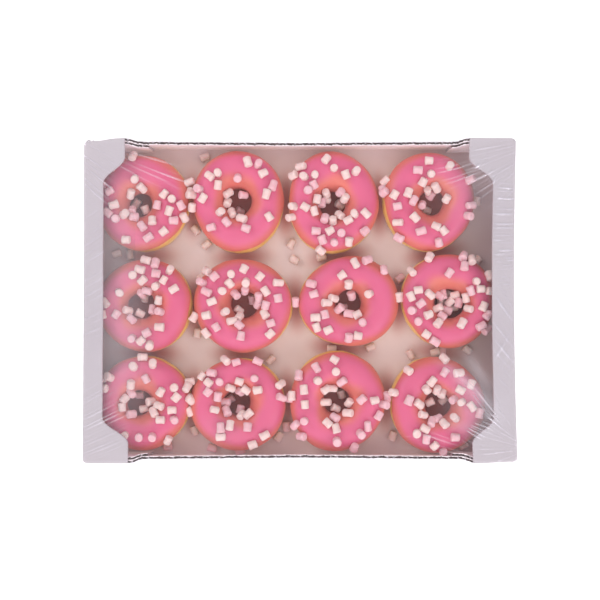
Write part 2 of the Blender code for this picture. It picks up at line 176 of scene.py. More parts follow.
def border_numbers(rows, columns):
    """Point numbers once round the border of a grid."""
    return np.concatenate([np.arange(columns), np.arange(1, rows) * columns + columns - 1,
                           (rows - 1) * columns + np.arange(columns - 2, -1, -1),
                           np.arange(rows - 2, 0, -1) * columns])


def swept_faces(sections, corners, flip):
    """Squares along a closed outline swept through its sections, and the two caps."""
    first = np.arange(corners)[None]
    faces = [grid_quads(sections, corners, close_columns=True), first[:, ::-1],
             first + (sections - 1) * corners]
    return [face[:, ::-1] for face in faces] if flip else faces


def triangles(piece):
    """How many triangles a finished piece has."""
    return sum(p.loop_total - 2 for p in piece.data.polygons)


def smooth_step(low, high, value):
    """Rises from 0 at low to 1 at high, level at both ends."""
    share = np.clip((value - low) / (high - low), 0.0, 1.0)
    return share * share * (3 - 2 * share)

# %% [markdown]
# A finish is a small network of shader nodes. The helpers keep it short: each adds a node,
# and hands its inputs either numbers or the outputs of other nodes. The mottle group gives
# slow unevenness of colour, which board, dough, icing and marshmallow all have, so it is
# built once and placed in each with its own colours and scale.

# %% Material helpers
def feed(tree, socket, value):
    """Gives an input a fixed value, or a link where the value is an output socket."""
    if isinstance(value, bpy.types.NodeSocket):
        tree.links.new(value, socket)
    else:
        socket.default_value = value


def feed_all(tree, node, inputs):
    """Feeds inputs by name, with an underscore for each space in a name."""
    for key, value in inputs.items():
        feed(tree, node.inputs[key.replace("_", " ")], value)


def add_node(tree, kind, settings=None, **inputs):
    """A node of one kind with its settings and its inputs."""
    node = tree.nodes.new(kind)
    for key, value in (settings or {}).items():
        setattr(node, key, value)
    feed_all(tree, node, inputs)
    return node


def new_material(name, **inputs):
    """A material that holds only its output and its Principled shader."""
    material = bpy.data.materials.new(name)
    material.use_nodes = True
    tree = material.node_tree
    shader = tree.nodes["Principled BSDF"]
    feed_all(tree, shader, inputs)
    return material, tree, shader


def calculate(tree, operation, *terms, clamp=False):
    """The result of a Math node on numbers or output sockets."""
    node = add_node(tree, "ShaderNodeMath", {"operation": operation, "use_clamp": clamp})
    for socket, term in zip(node.inputs, terms):
        feed(tree, socket, term)
    return node.outputs[0]


def blend_colours(tree, share, first, second):
    """A Mix node between two colours; each is four numbers or an output socket."""
    mix = add_node(tree, "ShaderNodeMix", {"data_type": "RGBA"})
    for slot, value in ((0, share), (6, first), (7, second)):
        feed(tree, mix.inputs[slot], value)
    return mix.outputs[2]


def object_place(tree):
    """Object coordinates, which are places in the frame."""
    return tree.nodes.new("ShaderNodeTexCoord").outputs["Object"]


def mesh_value(tree, label):
    """A value that is stored on each point of the mesh."""
    return add_node(tree, "ShaderNodeAttribute", {"attribute_name": label}).outputs["Fac"]

# %% Mottle and relief
def mottle_group():
    """A node group: slow noise on object coordinates that blends two colours."""
    group = bpy.data.node_groups.new("mottle", "ShaderNodeTree")
    for label, way, kind in (("Light", "INPUT", "Color"), ("Dark", "INPUT", "Color"),
                             ("Scale", "INPUT", "Float"), ("Contrast", "INPUT", "Float"),
                             ("Colour", "OUTPUT", "Color"), ("Grain", "OUTPUT", "Float")):
        group.interface.new_socket(label, in_out=way, socket_type="NodeSocket" + kind)
    given = group.nodes.new("NodeGroupInput").outputs
    noise = add_node(group, "ShaderNodeTexNoise", Vector=object_place(group),
                     Scale=given["Scale"], Detail=5.0, Roughness=0.55).outputs["Fac"]
    about_zero = calculate(group, "SUBTRACT", noise, 0.5)
    share = calculate(group, "MULTIPLY_ADD", about_zero, given["Contrast"], 0.5, clamp=True)
    colour = blend_colours(group, share, given["Dark"], given["Light"])
    add_node(group, "NodeGroupOutput", Colour=colour, Grain=noise)
    return group


MOTTLE = mottle_group()


def place_mottle(tree, light, dark, scale, contrast):
    """The mottle group in a material: its colour and its grain."""
    node = add_node(tree, "ShaderNodeGroup", {"node_tree": MOTTLE}, Light=(*light, 1.0),
                    Dark=(*dark, 1.0), Scale=scale, Contrast=contrast)
    return node.outputs["Colour"], node.outputs["Grain"]


def dress(tree, shader, colour, height, strength, distance):
    """Feeds the shader's colour, and its normal from a height through a Bump node."""
    bump = add_node(tree, "ShaderNodeBump", Height=height, Strength=strength, Distance=distance)
    feed_all(tree, shader, {"Base Color": colour, "Normal": bump.outputs["Normal"]})


print("mottle group with", len(MOTTLE.nodes), "nodes")

# %% [markdown]
# The board is white-coated corrugated card. Its liner is matt and slightly lilac under the
# light, with faint fibres and a washboard where the flutes press through. Inside, where an
# edge is cut, the fluting paper is brown.

# %% Board finishes
def board_liner(name, light, dark, painted_glow=0.0):
    """White liner: mottled colour, stretched fibres and a very low washboard.

    glow is painted light: a faint pink emission in place of daylight through the thin card.
    """
    material, tree, shader = new_material(name, Roughness=0.62, Specular_IOR_Level=0.3,
                                          Emission_Color=(1.0, 0.72, 0.80, 1.0),
                                          Emission_Strength=painted_glow)
    colour = place_mottle(tree, light, dark, scale=22.0, contrast=1.6)[0]
    place = object_place(tree)
    stretched = add_node(tree, "ShaderNodeMapping", Vector=place, Scale=(140.0, 900.0, 900.0))
    fibres = add_node(tree, "ShaderNodeTexNoise", Vector=stretched.outputs["Vector"],
                      Scale=1.0, Detail=3.0)
    flutes = add_node(tree, "ShaderNodeTexWave", {"bands_direction": "X"}, Vector=place,
                      Scale=48.0, Distortion=1.2, Detail=1.0)
    height = calculate(tree, "MULTIPLY_ADD", flutes.outputs["Fac"], 0.35, fibres.outputs["Fac"])
    dress(tree, shader, colour, height, strength=0.25, distance=0.0004)
    return material


def board_raw():
    """Brown fluting paper that shows at the cut edges."""
    material, tree, shader = new_material("board_raw", Roughness=0.85)
    colour, grain = place_mottle(tree, (0.30, 0.17, 0.15), (0.10, 0.05, 0.05), scale=260.0, contrast=3.0)
    dress(tree, shader, colour, grain, strength=0.5, distance=0.0005)
    return material


# The same white liner twice: a darker copy outside, where the light is strongest, and a brighter, pinker
# copy inside, which is painted light and painted pink bounce. The inside copy also gives off a faint pink
# emission, painted light.
LINER = board_liner("board_liner", (0.535, 0.485, 0.52), (0.495, 0.44, 0.48))
PAINTED_LIGHT_INSIDE = board_liner("board_inside_painted_light", (0.82, 0.75, 0.78), (0.76, 0.68, 0.71), painted_glow=0.15)
RAW = board_raw()
BOARD_MATERIALS = [LINER, RAW, PAINTED_LIGHT_INSIDE]
print("board finishes:", [material.name for material in BOARD_MATERIALS])

# %% [markdown]
# Each end of the tray is one board: up from the floor, folded over, and flat as the flange.
# The flange widens to an ear at each corner. So the end is a single outline in height and
# depth, swept across the tray, and only the outline's flange grows towards the corners.

# %% Shared tray curves
def long_bow(side, x):
    """How far a long wall's top leans in: none under the ears, most at mid-length."""
    end = np.where(x > 0, BOW_END[(1, side)], BOW_END[(-1, side)])
    inside = 1.0 - smooth_step(-12 * MM, 0.0, np.abs(x) - end)
    return LONG_BOW[side] * (1.0 - 0.3 * np.minimum(np.abs(x) / BOWED_HALF, 1.0)) * inside


def end_bow(side, y):
    """How far an end's flange bows in, most at the middle of the end."""
    return END_BOW[side] * (1.0 - (y / HALF_WIDTH) ** 2)


def lean(z):
    """Share of the bow reached at a height above the tray's underside."""
    return np.clip(z / WALL_HEIGHT, 0.0, 1.0) ** 1.5


def corner_inset(depth, radius):
    """Inset of a rounded corner at a distance in from the edge: a quarter circle."""
    near = np.clip((radius - depth) / radius, 0.0, 1.0)
    return radius * (1 - np.sqrt(1 - near ** 2))


EAR_SLOPE = {(-1, 1): 3.5 * MM, (1, 1): 0.2 * MM, (-1, -1): 0.0 * MM, (1, -1): 1.6 * MM}


def corner_pull(side, x, half):
    """How far a long edge is pulled in near its two corners, where the ears slope in."""
    slope = np.where(x > 0, EAR_SLOPE[(1, side)], EAR_SLOPE[(-1, side)])
    return slope * smooth_step(36 * MM, 0.0, half - np.abs(x))


def flange_width(side, y):
    """Width of the flange along an end: the plain width, then a cosine S up to each ear."""
    width = np.full(y.shape, FLANGE[side])
    for back in (-1, 1):
        depth = HALF_WIDTH - back * y
        rise = np.clip((EAR_WIDTH - depth) / (EAR_WIDTH - EAR_STRAIGHT), 0.0, 1.0)
        reach = EAR_REACH[(side, back)] - corner_inset(depth, CORNER)
        width = np.where(depth < EAR_WIDTH + 5 * MM,
                         FLANGE[side] + (reach - FLANGE[side]) * 0.5 * (1 - np.cos(math.pi * rise)),
                         width)
    return width


print("flange widths:", [round(float(v) * 1000, 1) for v in
                         flange_width(1, np.array([-HALF_WIDTH, -0.12, 0.0, 0.12]))])

# %% Tray ends with flange and ears
def arc(centre, radius, start, stop, count):
    """Points of a circular arc in the outline's plane, angles in degrees."""
    turn = np.radians(np.linspace(start, stop, count))
    return np.stack([centre[0] + radius * np.cos(turn), centre[1] + radius * np.sin(turn)], -1)


def end_outline(width):
    """Closed outline of an end, as inset and height, with rounded fold and rounded rim."""
    rim = 0.8 * MM
    up = np.stack([np.zeros(8), np.linspace(0, FLANGE_HEIGHT - FOLD, 8)], -1)
    fold = arc((FOLD, FLANGE_HEIGHT - FOLD), FOLD, 180, 90, 7)[1:]
    top = np.stack([np.linspace(FOLD, width - rim, 16)[1:], np.full(15, FLANGE_HEIGHT)], -1)
    edge = np.concatenate([
        arc((width - rim, FLANGE_HEIGHT - rim), rim, 90, 0, 4)[1:],
        arc((width - rim, FLANGE_HEIGHT - BOARD + rim), rim, 0, -90, 4),
    ])
    under = np.stack([np.linspace(width - rim, BOARD + 1 * MM, 8)[1:],
                      np.full(7, FLANGE_HEIGHT - BOARD)], -1)
    down = np.stack([np.full(6, BOARD), np.linspace(FLANGE_HEIGHT - BOARD - 1 * MM, 0, 6)], -1)
    return np.concatenate([up, fold, top, edge, under, down])


def tray_end(side):
    """The end board swept along Y, with sections crowded towards the ears."""
    share = np.linspace(-1, 1, 121)
    y = HALF_WIDTH * np.sign(share) * (1 - (1 - np.abs(share)) ** 1.5)
    sections = np.stack([end_outline(width) for width in flange_width(side, y)])
    inset, height = sections[..., 0], sections[..., 1]
    rows = y[:, None]
    depth = HALF_WIDTH - np.abs(rows)
    across = HALF_LENGTH - inset - corner_inset(depth, CORNER) - end_bow(side, rows) * lean(height)
    flat = smooth_step(FLANGE_HEIGHT - 8 * MM, FLANGE_HEIGHT - BOARD, height)
    slope = np.where(rows > 0, EAR_SLOPE[(side, 1)], EAR_SLOPE[(side, -1)])
    near = smooth_step(30 * MM, 0.0, depth) * smooth_step(36 * MM, 0.0, inset) * flat
    along = rows - np.sign(rows) * slope * near
    droop = 0.5 * MM * (np.sin(rows * 70 + side) - 1) * flat * smooth_step(0, 20 * MM, inset)
    points = np.stack([side * across, along, TRAY_Z + height + droop], -1)
    piece = mesh_piece(f"tray_end_{SIDE_WORDS[side]}", points,
                       swept_faces(*inset.shape, side > 0), [LINER])
    piece.data.set_sharp_from_angle(angle=math.radians(50))
    return piece


SIDE_WORDS = {-1: "left", 1: "right"}
for side in SIDE_WORDS:
    end_board = tray_end(side)
    print(end_board.name, triangles(end_board), "triangles")

# %% [markdown]
# The long walls end in a raw edge, which is the tray's most telling detail: two thin white
# liners with a dark gap between them, and the fluting paper running through it as a wave.
# A groove in the wall's outline makes the gap, and a thin wavy strip in it makes the flutes.
# Nothing of that edge is straight: sine waves with drawn phases crush and tear it.

# %% Long walls and corner tabs
LINER_SHEET = 0.45 * MM
INNER_SHEET = 0.8 * MM
TORN = 1.8 * MM
GROOVE = 4.0 * MM
FLUTE_PITCH = 6.5 * MM
WALL_HALF = 196.2 * MM
FLUTED_HALF = 156 * MM
TAB_SPAN = (141 * MM, 196 * MM)
TAB_FLUTED = (143 * MM, 160 * MM)
TAB_HEIGHT = 50 * MM
TAB_CUT = 5 * MM
TAB_LEVEL_FROM = 150 * MM


def wall_top(x):
    """Height of a long wall's raw edge: high under the ears, lower between them."""
    under = FLANGE_HEIGHT - BOARD + 0.3 * MM
    return WALL_HEIGHT + (under - WALL_HEIGHT) * smooth_step(BOWED_HALF - 2 * MM, EAR_INNER, np.abs(x))


def tab_top(x):
    """Height of a corner tab: level, then cut down at a slant at its free end."""
    return TAB_HEIGHT - TAB_CUT * smooth_step(TAB_LEVEL_FROM, TAB_SPAN[0], np.abs(x))


ABOUT_A_TURN = 6.28


def ragged(x, seed, size, pitches=(3.1, 4.7, 9, 14, 23, 47)):
    """A crushed edge: sine waves of the given pitches in millimetres, of drawn phase."""
    draw = np.random.RandomState(seed)
    total = np.zeros(x.shape)
    for pitch in pitches:
        total = total + np.sin(x * 2 * math.pi / (pitch * MM) + draw.uniform(0, ABOUT_A_TURN))
    return size * total / len(pitches)


def standing(x, side, inside, bow, z):
    """Points along a long wall: inside is how far in they lie, and bow how far it leans."""
    return np.stack([x, side * (HALF_WIDTH - inside - bow * lean(z)), TRAY_Z + z], -1)


def long_board(name, side, x, depth, top, seed):
    """A standing board with a grooved raw top edge, swept along X.

    The outline runs up the outer liner, into the groove, out of it and down the inner
    liner. Here and there a torn flake of liner leans over the groove and shows white.
    """
    height = top(x) + ragged(x, seed, 0.5 * MM)
    inner_height = top(x) + ragged(x, seed + 7, 0.5 * MM)
    floor = height - GROOVE
    flake = np.clip(3.2 * ragged(x, seed + 5, 1.0, (2.1, 3.1, 4.7, 7.3)) - 1.1, 0, 1)
    flake = LINER_SHEET + TORN * flake
    inner = BOARD - INNER_SHEET - ragged(x, seed + 9, 0.8 * MM, (2.3, 3.1, 4.7, 7.9, 17))
    rise = (0.0, 0.25, 0.5, 0.75)
    outer_side = [(0.0, share * height) for share in rise] + [(0.0, floor)]
    rim = [(0.0, height - 0.2 * MM), (0.15 * MM, height), (flake, height), (LINER_SHEET, floor),
           (inner, floor), (inner, inner_height), (BOARD - 0.15 * MM, inner_height),
           (BOARD, inner_height - 0.2 * MM)]
    inner_side = [(BOARD, floor)] + [(BOARD, share * height) for share in reversed(rise)]
    outline = outer_side + rim + inner_side
    bow = long_bow(side, x) + ragged(x, seed + 3, 0.4 * MM) + corner_pull(side, x, HALF_LENGTH)
    points = np.stack([standing(x, side, depth + inside, bow, z) for inside, z in outline], 1)
    count = len(outline)
    # The outer liner ends at the flake's tip. Three strips of raw paper line the groove, and
    # the inner liner follows.
    column = np.tile(np.arange(count), len(x) - 1)
    groove_start = len(outer_side) + 2
    groove_end = groove_start + 3
    finish = np.where(column < groove_start, 0, np.where(column < groove_end, 1, 2))
    piece = mesh_piece(name, points, swept_faces(len(x), count, side < 0), BOARD_MATERIALS,
                       face_material=np.concatenate([finish, [0, 0]]))
    piece.data.set_sharp_from_angle(angle=math.radians(40))
    return piece


def flute_strip(name, side, x, depth, top):
    """The fluting paper in the groove: a sine wave across the groove's width."""
    middle = (LINER_SHEET + BOARD - INNER_SHEET) / 2
    swing = (middle - LINER_SHEET - 0.3 * MM) * np.sin(2 * math.pi * x / FLUTE_PITCH)
    height = top(x) - 0.5 * MM + ragged(x, 31, 0.5 * MM)
    paper, deep = 0.12 * MM, height - 3.2 * MM
    outline = [(-paper, deep), (-paper, height), (paper, height), (paper, deep)]
    points = np.stack([standing(x, side, depth + middle + swing + offset, long_bow(side, x), z)
                       for offset, z in outline], 1)
    piece = mesh_piece(name, points, swept_faces(len(x), len(outline), side < 0), [RAW])
    return piece


wall_x = np.linspace(-WALL_HALF, WALL_HALF, 560)
flute_x = np.linspace(-FLUTED_HALF, FLUTED_HALF, 620)
tab_x = np.linspace(*TAB_SPAN, 80)
tab_flute_x = np.linspace(*TAB_FLUTED, 40)
for side, label in ((-1, "front"), (1, "back")):
    wall = long_board(f"tray_wall_{label}", side, wall_x, 0.0, wall_top, 11 + side)
    flutes = flute_strip(f"tray_flutes_{label}", side, flute_x, 0.0, wall_top)
    print(wall.name, triangles(wall), "triangles,", flutes.name, triangles(flutes))
    for end, word in SIDE_WORDS.items():
        long_board(f"tray_tab_{label}_{word}", side, np.sort(end * tab_x), BOARD - GAP, tab_top,
                   21 + end)
        flute_strip(f"tray_tab_flutes_{label}_{word}", side, np.sort(end * tab_flute_x),
                    BOARD - GAP, tab_top)

# %% [markdown]
# The floor is a plain board, but even it isn't quite flat: card cockles by a fraction of a
# millimetre where damp food has stood on it. Under each doughnut it turns brown, which shows
# through the holes and in the narrow gaps: partly fat soaked into it and partly painted shade.
# Along the walls, most at the right-hand end, it is darkened by painted shade. How much there
# is of each is stored on the mesh.

# %% Grease and painted shade on the floor
def grease_and_painted_shade(x, y):
    """Fat in the board and painted shade: full under each doughnut, and where two of them nearly touch.

    For each doughnut, far is the distance from its centre as a share of its own radius. The
    darkening ends just inside the rim. Close to two rims at once the shares are multiplied,
    which paints shade into the narrow gaps.
    """
    under = np.zeros(x.shape)
    beside = []
    for ring in RINGS.values():
        far = np.hypot((x - ring.x * MM) / (ring.half_x * MM), (y - ring.y * MM) / (ring.half_y * MM))
        under = np.maximum(under, smooth_step(1.0, 0.80, far))
        beside.append(smooth_step(1.45, 1.0, far))
    first, second = np.sort(np.stack(beside), axis=0)[-2:]
    return np.maximum(under, first * second)


def shade(x, y):
    """Painted shade along the walls, most of it at the right-hand end."""
    wall = np.minimum(HALF_WIDTH - np.abs(y), HALF_LENGTH - np.abs(x))
    along = 0.30 * smooth_step(34 * MM, 4 * MM, wall)
    ends = 0.20 * smooth_step(-140 * MM, -175 * MM, x) + 0.42 * smooth_step(125 * MM, 175 * MM, x)
    front = 0.14 * smooth_step(0.0, 90 * MM, x) * smooth_step(-90 * MM, -135 * MM, y)
    return np.clip(along + ends + front, 0.0, 1.0)


def greasy_shaded_board():
    """The floor's liner, blended by mesh values to a painted shade and to a brown of fat and shade."""
    material, tree, shader = new_material("board_greasy_shaded", Roughness=0.5)
    # clean is a brighter, pinker copy of the white liner: painted light and painted pink bounce.
    clean, grain = place_mottle(tree, (0.88, 0.735, 0.735), (0.81, 0.665, 0.665), scale=22.0, contrast=1.6)
    # The brown is partly fat soaked into the card and partly painted shade in the holes and gaps.
    fat_and_shade_brown = place_mottle(tree, (0.54, 0.11, 0.08), (0.43, 0.085, 0.06), scale=40.0, contrast=1.8)[0]
    # card is the floor colour with painted shade along the walls blended in.
    card = blend_colours(tree, mesh_value(tree, "shade"), clean, (0.42, 0.26, 0.265, 1.0))
    colour = blend_colours(tree, mesh_value(tree, "grease_and_painted_shade"), card, fat_and_shade_brown)
    dress(tree, shader, colour, grain, strength=0.2, distance=0.0006)
    return material


GREASY_SHADED = greasy_shaded_board()
middle = RINGS["r1c2"]
print("grease in a hole:", float(grease_and_painted_shade(np.array([middle.x * MM]), np.array([middle.y * MM]))[0]))

# %% Tray floor
def tray_floor():
    """A closed slab whose top is a grid of slow waves, just inside the four walls."""
    x = np.linspace(-HALF_LENGTH + 1 * MM, HALF_LENGTH - 1 * MM, 220)
    y = np.linspace(-HALF_WIDTH + 1 * MM, HALF_WIDTH - 1 * MM, 165)
    x, y = np.meshgrid(x, y, indexing="ij")
    cockle = 0.15 * MM * (np.sin(x * 60 + 1) * np.cos(y * 75) - 1)
    top = np.stack([x, y, FLOOR_Z + cockle], -1)
    under = np.stack([x, y, np.full(x.shape, TRAY_Z + 0.1 * MM)], -1)
    quads = grid_quads(*x.shape)
    border = border_numbers(*x.shape)
    after = np.roll(border, -1)
    skirt = np.stack([border, after, after + x.size, border + x.size], -1)
    faces = np.concatenate([quads[:, ::-1], quads + x.size, skirt])
    under_side = np.zeros(x.size)
    values = {"grease_and_painted_shade": np.concatenate([grease_and_painted_shade(x, y).ravel(), under_side]),
              "shade": np.concatenate([shade(x, y).ravel(), under_side])}
    return mesh_piece("tray_floor", np.concatenate([top.reshape(-1, 3), under.reshape(-1, 3)]),
                      faces, [GREASY_SHADED], values)


floor_board = tray_floor()
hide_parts("tray")
print(floor_board.name, triangles(floor_board), "triangles")

# %% [markdown]
# A ring doughnut isn't a torus: it is wider than it is high, flat underneath, and its hole
# sits a little off centre. So its section is a squared-off ellipse that spans from the
# hole's wall to the outer rim at each angle. The same formula, pushed outwards, gives the
# icing that lies on it.

# %% Doughnut formula
def signed_power(value, power):
    """A cosine or sine drawn out towards a squarer curve."""
    return np.sign(value) * np.abs(value) ** power


def ring_points(ring, seed, turn, around, lift):
    """Points of one doughnut about its own centre.

    At each angle round the ring the section is a squared-off ellipse between the hole's wall
    and the outer rim, flat underneath. turn goes round the ring and around goes round the
    section, from the outer rim over the top to the hole. lift pushes the surface outwards.
    """
    half_x, half_y, shift_x, shift_y, hole = [value * MM for value in ring[2:7]]
    draw = np.random.RandomState(seed)
    phase = draw.uniform(0, 2 * math.pi, 3)
    wave = UNEVEN * (np.cos(2 * turn + phase[0]) + np.cos(3 * turn + phase[1]))
    outer = half_x * half_y / np.hypot(half_y * np.cos(turn), half_x * np.sin(turn))
    outer = outer * (1 + wave - 0.5 * UNEVEN)
    inner = hole * (1 + 2 * wave) + ICING_LIFT
    direction = np.stack([np.cos(turn), np.sin(turn)])
    shift = np.array([shift_x, shift_y]).reshape((2,) + (1,) * turn.ndim)
    rim = direction * outer
    wall = direction * inner + shift
    middle = (rim + wall) / 2
    half = (rim - wall) / 2
    width = np.hypot(half[0], half[1])
    sideways = signed_power(np.cos(around), SIDE_POWER) * (1 + lift / width)
    sine = np.sin(around)
    above = DOUGH_HEIGHT * (1 - EQUATOR) * (1 + TILT * np.cos(turn + phase[2])) + lift
    below = DOUGH_HEIGHT * EQUATOR
    under = np.minimum(1.0, np.abs(sine) ** BASE_POWER / BASE_FLAT)
    height = below + np.where(sine > 0, above * np.abs(sine) ** TOP_POWER, -below * under)
    plan = middle + half * sideways
    return np.stack([plan[0], plan[1], height], axis=-1)


def icing_edges(turn, ring, seed):
    """Section angles of the icing's outer edge and of its edge in the hole, both wavy.

    The outer edge stands higher on the side that faces the middle of the tray, so most of
    the bare dough shows there.
    """
    bare_side = math.atan2(-ring.y, -ring.x)
    draw = np.random.RandomState(seed + 100)
    phase = draw.uniform(0, 2 * math.pi, 2)
    outer = ICING_EDGE + ICING_EDGE_WAVE * np.cos(turn - bare_side)
    outer = outer + ICING_RIPPLE * np.cos(3 * turn + phase[0])
    inner = HOLE_EDGE + HOLE_EDGE_WAVE * np.cos(2 * turn + phase[1])
    fine = 1.6 * np.cos(7 * turn + phase[1]) + 1.1 * np.cos(11 * turn + phase[0])
    return np.radians(outer + fine), np.radians(inner - fine)


def place_of(ring):
    """Where a doughnut's own origin is in the frame."""
    return np.array([ring.x * MM, ring.y * MM, FLOOR_Z + GAP])


print("one doughnut spans", [round(v * 2, 1) for v in RINGS["r2c2"][2:4]], "mm")

# %% [markdown]
# Fried dough is golden brown above and below and paler in a belt round its middle, where it
# floated half out of the fat. The height of each point is stored on the mesh, so that the
# finish can put that belt in the right place.

# %% Dough finish
def dough_finish():
    """Golden crust with a pale belt, mottled, slightly wrinkled and barely shiny."""
    material, tree, shader = new_material("fried_dough", Roughness=0.55, Subsurface_Weight=0.12,
                                          Subsurface_Radius=(0.004, 0.002, 0.001))
    crust = place_mottle(tree, (0.94, 0.61, 0.20), (0.80, 0.44, 0.11), scale=60.0, contrast=2.2)[0]
    colour = blend_colours(tree, mesh_value(tree, "belt"), crust, (0.98, 0.78, 0.40, 1.0))
    pores = add_node(tree, "ShaderNodeTexNoise", Vector=object_place(tree), Scale=420.0, Detail=4.0)
    dress(tree, shader, colour, pores.outputs["Fac"], strength=0.35, distance=0.0008)
    return material


DOUGH = dough_finish()
print("dough finish:", DOUGH.name)

# %% Dough rings
RING_TURNS = 112
RING_AROUND = 56
# The belt's height and width as shares of the doughnut's height, and how pale it is.
BELT_HEIGHT, BELT_WIDTH, BELT_STRENGTH = 0.40, 0.10, 0.85


def dough_ring(name, ring, seed):
    """One dough ring: the doughnut formula all the way round, with low wrinkles added."""
    turn, around = np.meshgrid(np.linspace(0, 2 * math.pi, RING_TURNS, endpoint=False),
                               np.linspace(0, 2 * math.pi, RING_AROUND, endpoint=False),
                               indexing="ij")
    wrinkle = 0.18 * MM * np.sin(9 * turn + seed) * np.sin(5 * around + seed)
    wrinkle = wrinkle + 0.12 * MM * np.sin(23 * turn + 3 * around)
    points = ring_points(ring, seed, turn, around, wrinkle - 0.05 * MM)
    height = points[..., 2] / DOUGH_HEIGHT
    belt = BELT_STRENGTH * np.exp(-((height - BELT_HEIGHT) / BELT_WIDTH) ** 2)
    quads = grid_quads(RING_TURNS, RING_AROUND, close_rows=True, close_columns=True)[:, ::-1]
    piece = mesh_piece("crust_" + name, points + place_of(ring), quads, [DOUGH], {"belt": belt})
    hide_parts("dough_" + name)
    return piece


dough_pieces = [dough_ring(name, ring, seed) for seed, (name, ring) in enumerate(RINGS.items())]
print(len(dough_pieces), "dough rings of", triangles(dough_pieces[0]), "triangles")

# %% [markdown]
# The icing is a dipped fondant: a strong cool pink where it is thick on the crown, and a
# warmer coral where it runs thin over the shoulders and into the hole, so that the gold of
# the dough shines through. A value stored on the mesh says how far each point is from the
# crown, and the finish blends the two pinks by it.

# %% Icing finish
def icing_finish():
    """Pink fondant: two pinks blended from crown to edge, softly glossy, lightly waxy."""
    material, tree, shader = new_material("pink_icing", Roughness=0.42, Specular_IOR_Level=0.4,
                                          Subsurface_Weight=0.15,
                                          Subsurface_Radius=(0.004, 0.0015, 0.0015))
    crown, grain = place_mottle(tree, (0.715, 0.125, 0.262), (0.685, 0.11, 0.228), scale=28.0, contrast=1.6)
    thin = place_mottle(tree, (0.72, 0.19, 0.14), (0.69, 0.145, 0.13), scale=34.0, contrast=1.8)[0]
    colour = blend_colours(tree, mesh_value(tree, "thin"), crown, thin)
    dress(tree, shader, colour, grain, strength=0.12, distance=0.0015)
    return material


ICING = icing_finish()
print("icing finish:", ICING.name)

# %% Icing skins
ICING_ROWS = 40


def icing_skin(name, ring, seed):
    """The icing of one doughnut: a closed skin with rounded lips at both of its edges.

    The outer side starts at the rim's edge, swells to full thickness within a few
    millimetres, and tucks in again at the edge in the hole. The inner side follows the
    dough at a small gap.
    """
    turn = np.linspace(0, 2 * math.pi, RING_TURNS, endpoint=False)
    edge, hole_edge = icing_edges(turn, ring, seed)
    share = np.linspace(0, 1, ICING_ROWS)
    share = share - 0.10 * np.sin(2 * math.pi * share)
    around = edge + (hole_edge - edge) * share[:, None]
    turns = np.broadcast_to(turn, around.shape)
    lip = np.minimum(share, 1 - share)[:, None] / 0.055
    swell = np.sqrt(np.clip(1 - (1 - np.clip(lip, 0, 1)) ** 2, 0, 1))
    uneven = 0.16 * MM * np.sin(4 * turns + seed) * np.sin(3 * around + 2 * seed)
    uneven = uneven + 0.10 * MM * np.sin(9 * turns - seed) * np.cos(5 * around)
    lift = GAP + (ICING_LIFT - GAP + uneven) * swell
    outside = ring_points(ring, seed, turns, around, lift)
    inside = ring_points(ring, seed, turns[1:-1], around[1:-1], np.full(around[1:-1].shape, GAP))
    points = np.concatenate([outside, inside[::-1]]) + place_of(ring)
    crown = np.radians(80 + 7 * np.cos(turns + seed))
    reach = np.where(around < crown, (crown - around) / math.radians(46),
                     (around - crown) / math.radians(50))
    patch = 0.10 * np.sin(3 * turns + 2 * seed) + 0.08 * np.sin(5 * turns - seed + 2 * around)
    thin = smooth_step(0.30, 1.0, reach + patch)
    values = np.concatenate([thin, thin[1:-1][::-1]])
    quads = grid_quads(len(points), RING_TURNS, close_rows=True, close_columns=True)
    piece = mesh_piece("fondant_" + name, points, quads, [ICING], {"thin": values})
    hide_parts("icing_" + name)
    return piece


icing_pieces = [icing_skin(name, ring, seed) for seed, (name, ring) in enumerate(RINGS.items())]
print(len(icing_pieces), "icing skins of", triangles(icing_pieces[0]), "triangles")

# %% [markdown]
# Mini marshmallows are cut from a rope: short cylinders with soft rims, slightly waisted,
# and each squashed in its own way. One small grid is the pattern for all. Numpy turns,
# stretches and moves it for hundreds of places at once, and each colour becomes one mesh.

# %% Marshmallow finish
def marshmallow_finish(name, light, dark):
    """Soft, matt and slightly translucent, dusted with starch."""
    material, tree, shader = new_material(name, Roughness=0.8, Specular_IOR_Level=0.25,
                                          Subsurface_Weight=0.5,
                                          Subsurface_Radius=(0.005, 0.0035, 0.0032))
    colour, grain = place_mottle(tree, light, dark, scale=190.0, contrast=2.5)
    dress(tree, shader, colour, grain, strength=0.25, distance=0.0006)
    return material


WHITE = marshmallow_finish("marshmallow_white", (0.85, 0.685, 0.65), (0.81, 0.585, 0.575))
PINK = marshmallow_finish("marshmallow_pink", (0.83, 0.555, 0.60), (0.80, 0.455, 0.51))
print("marshmallow finishes:", WHITE.name, PINK.name)

# %% Marshmallow pattern
PATTERN_SIDES = 12


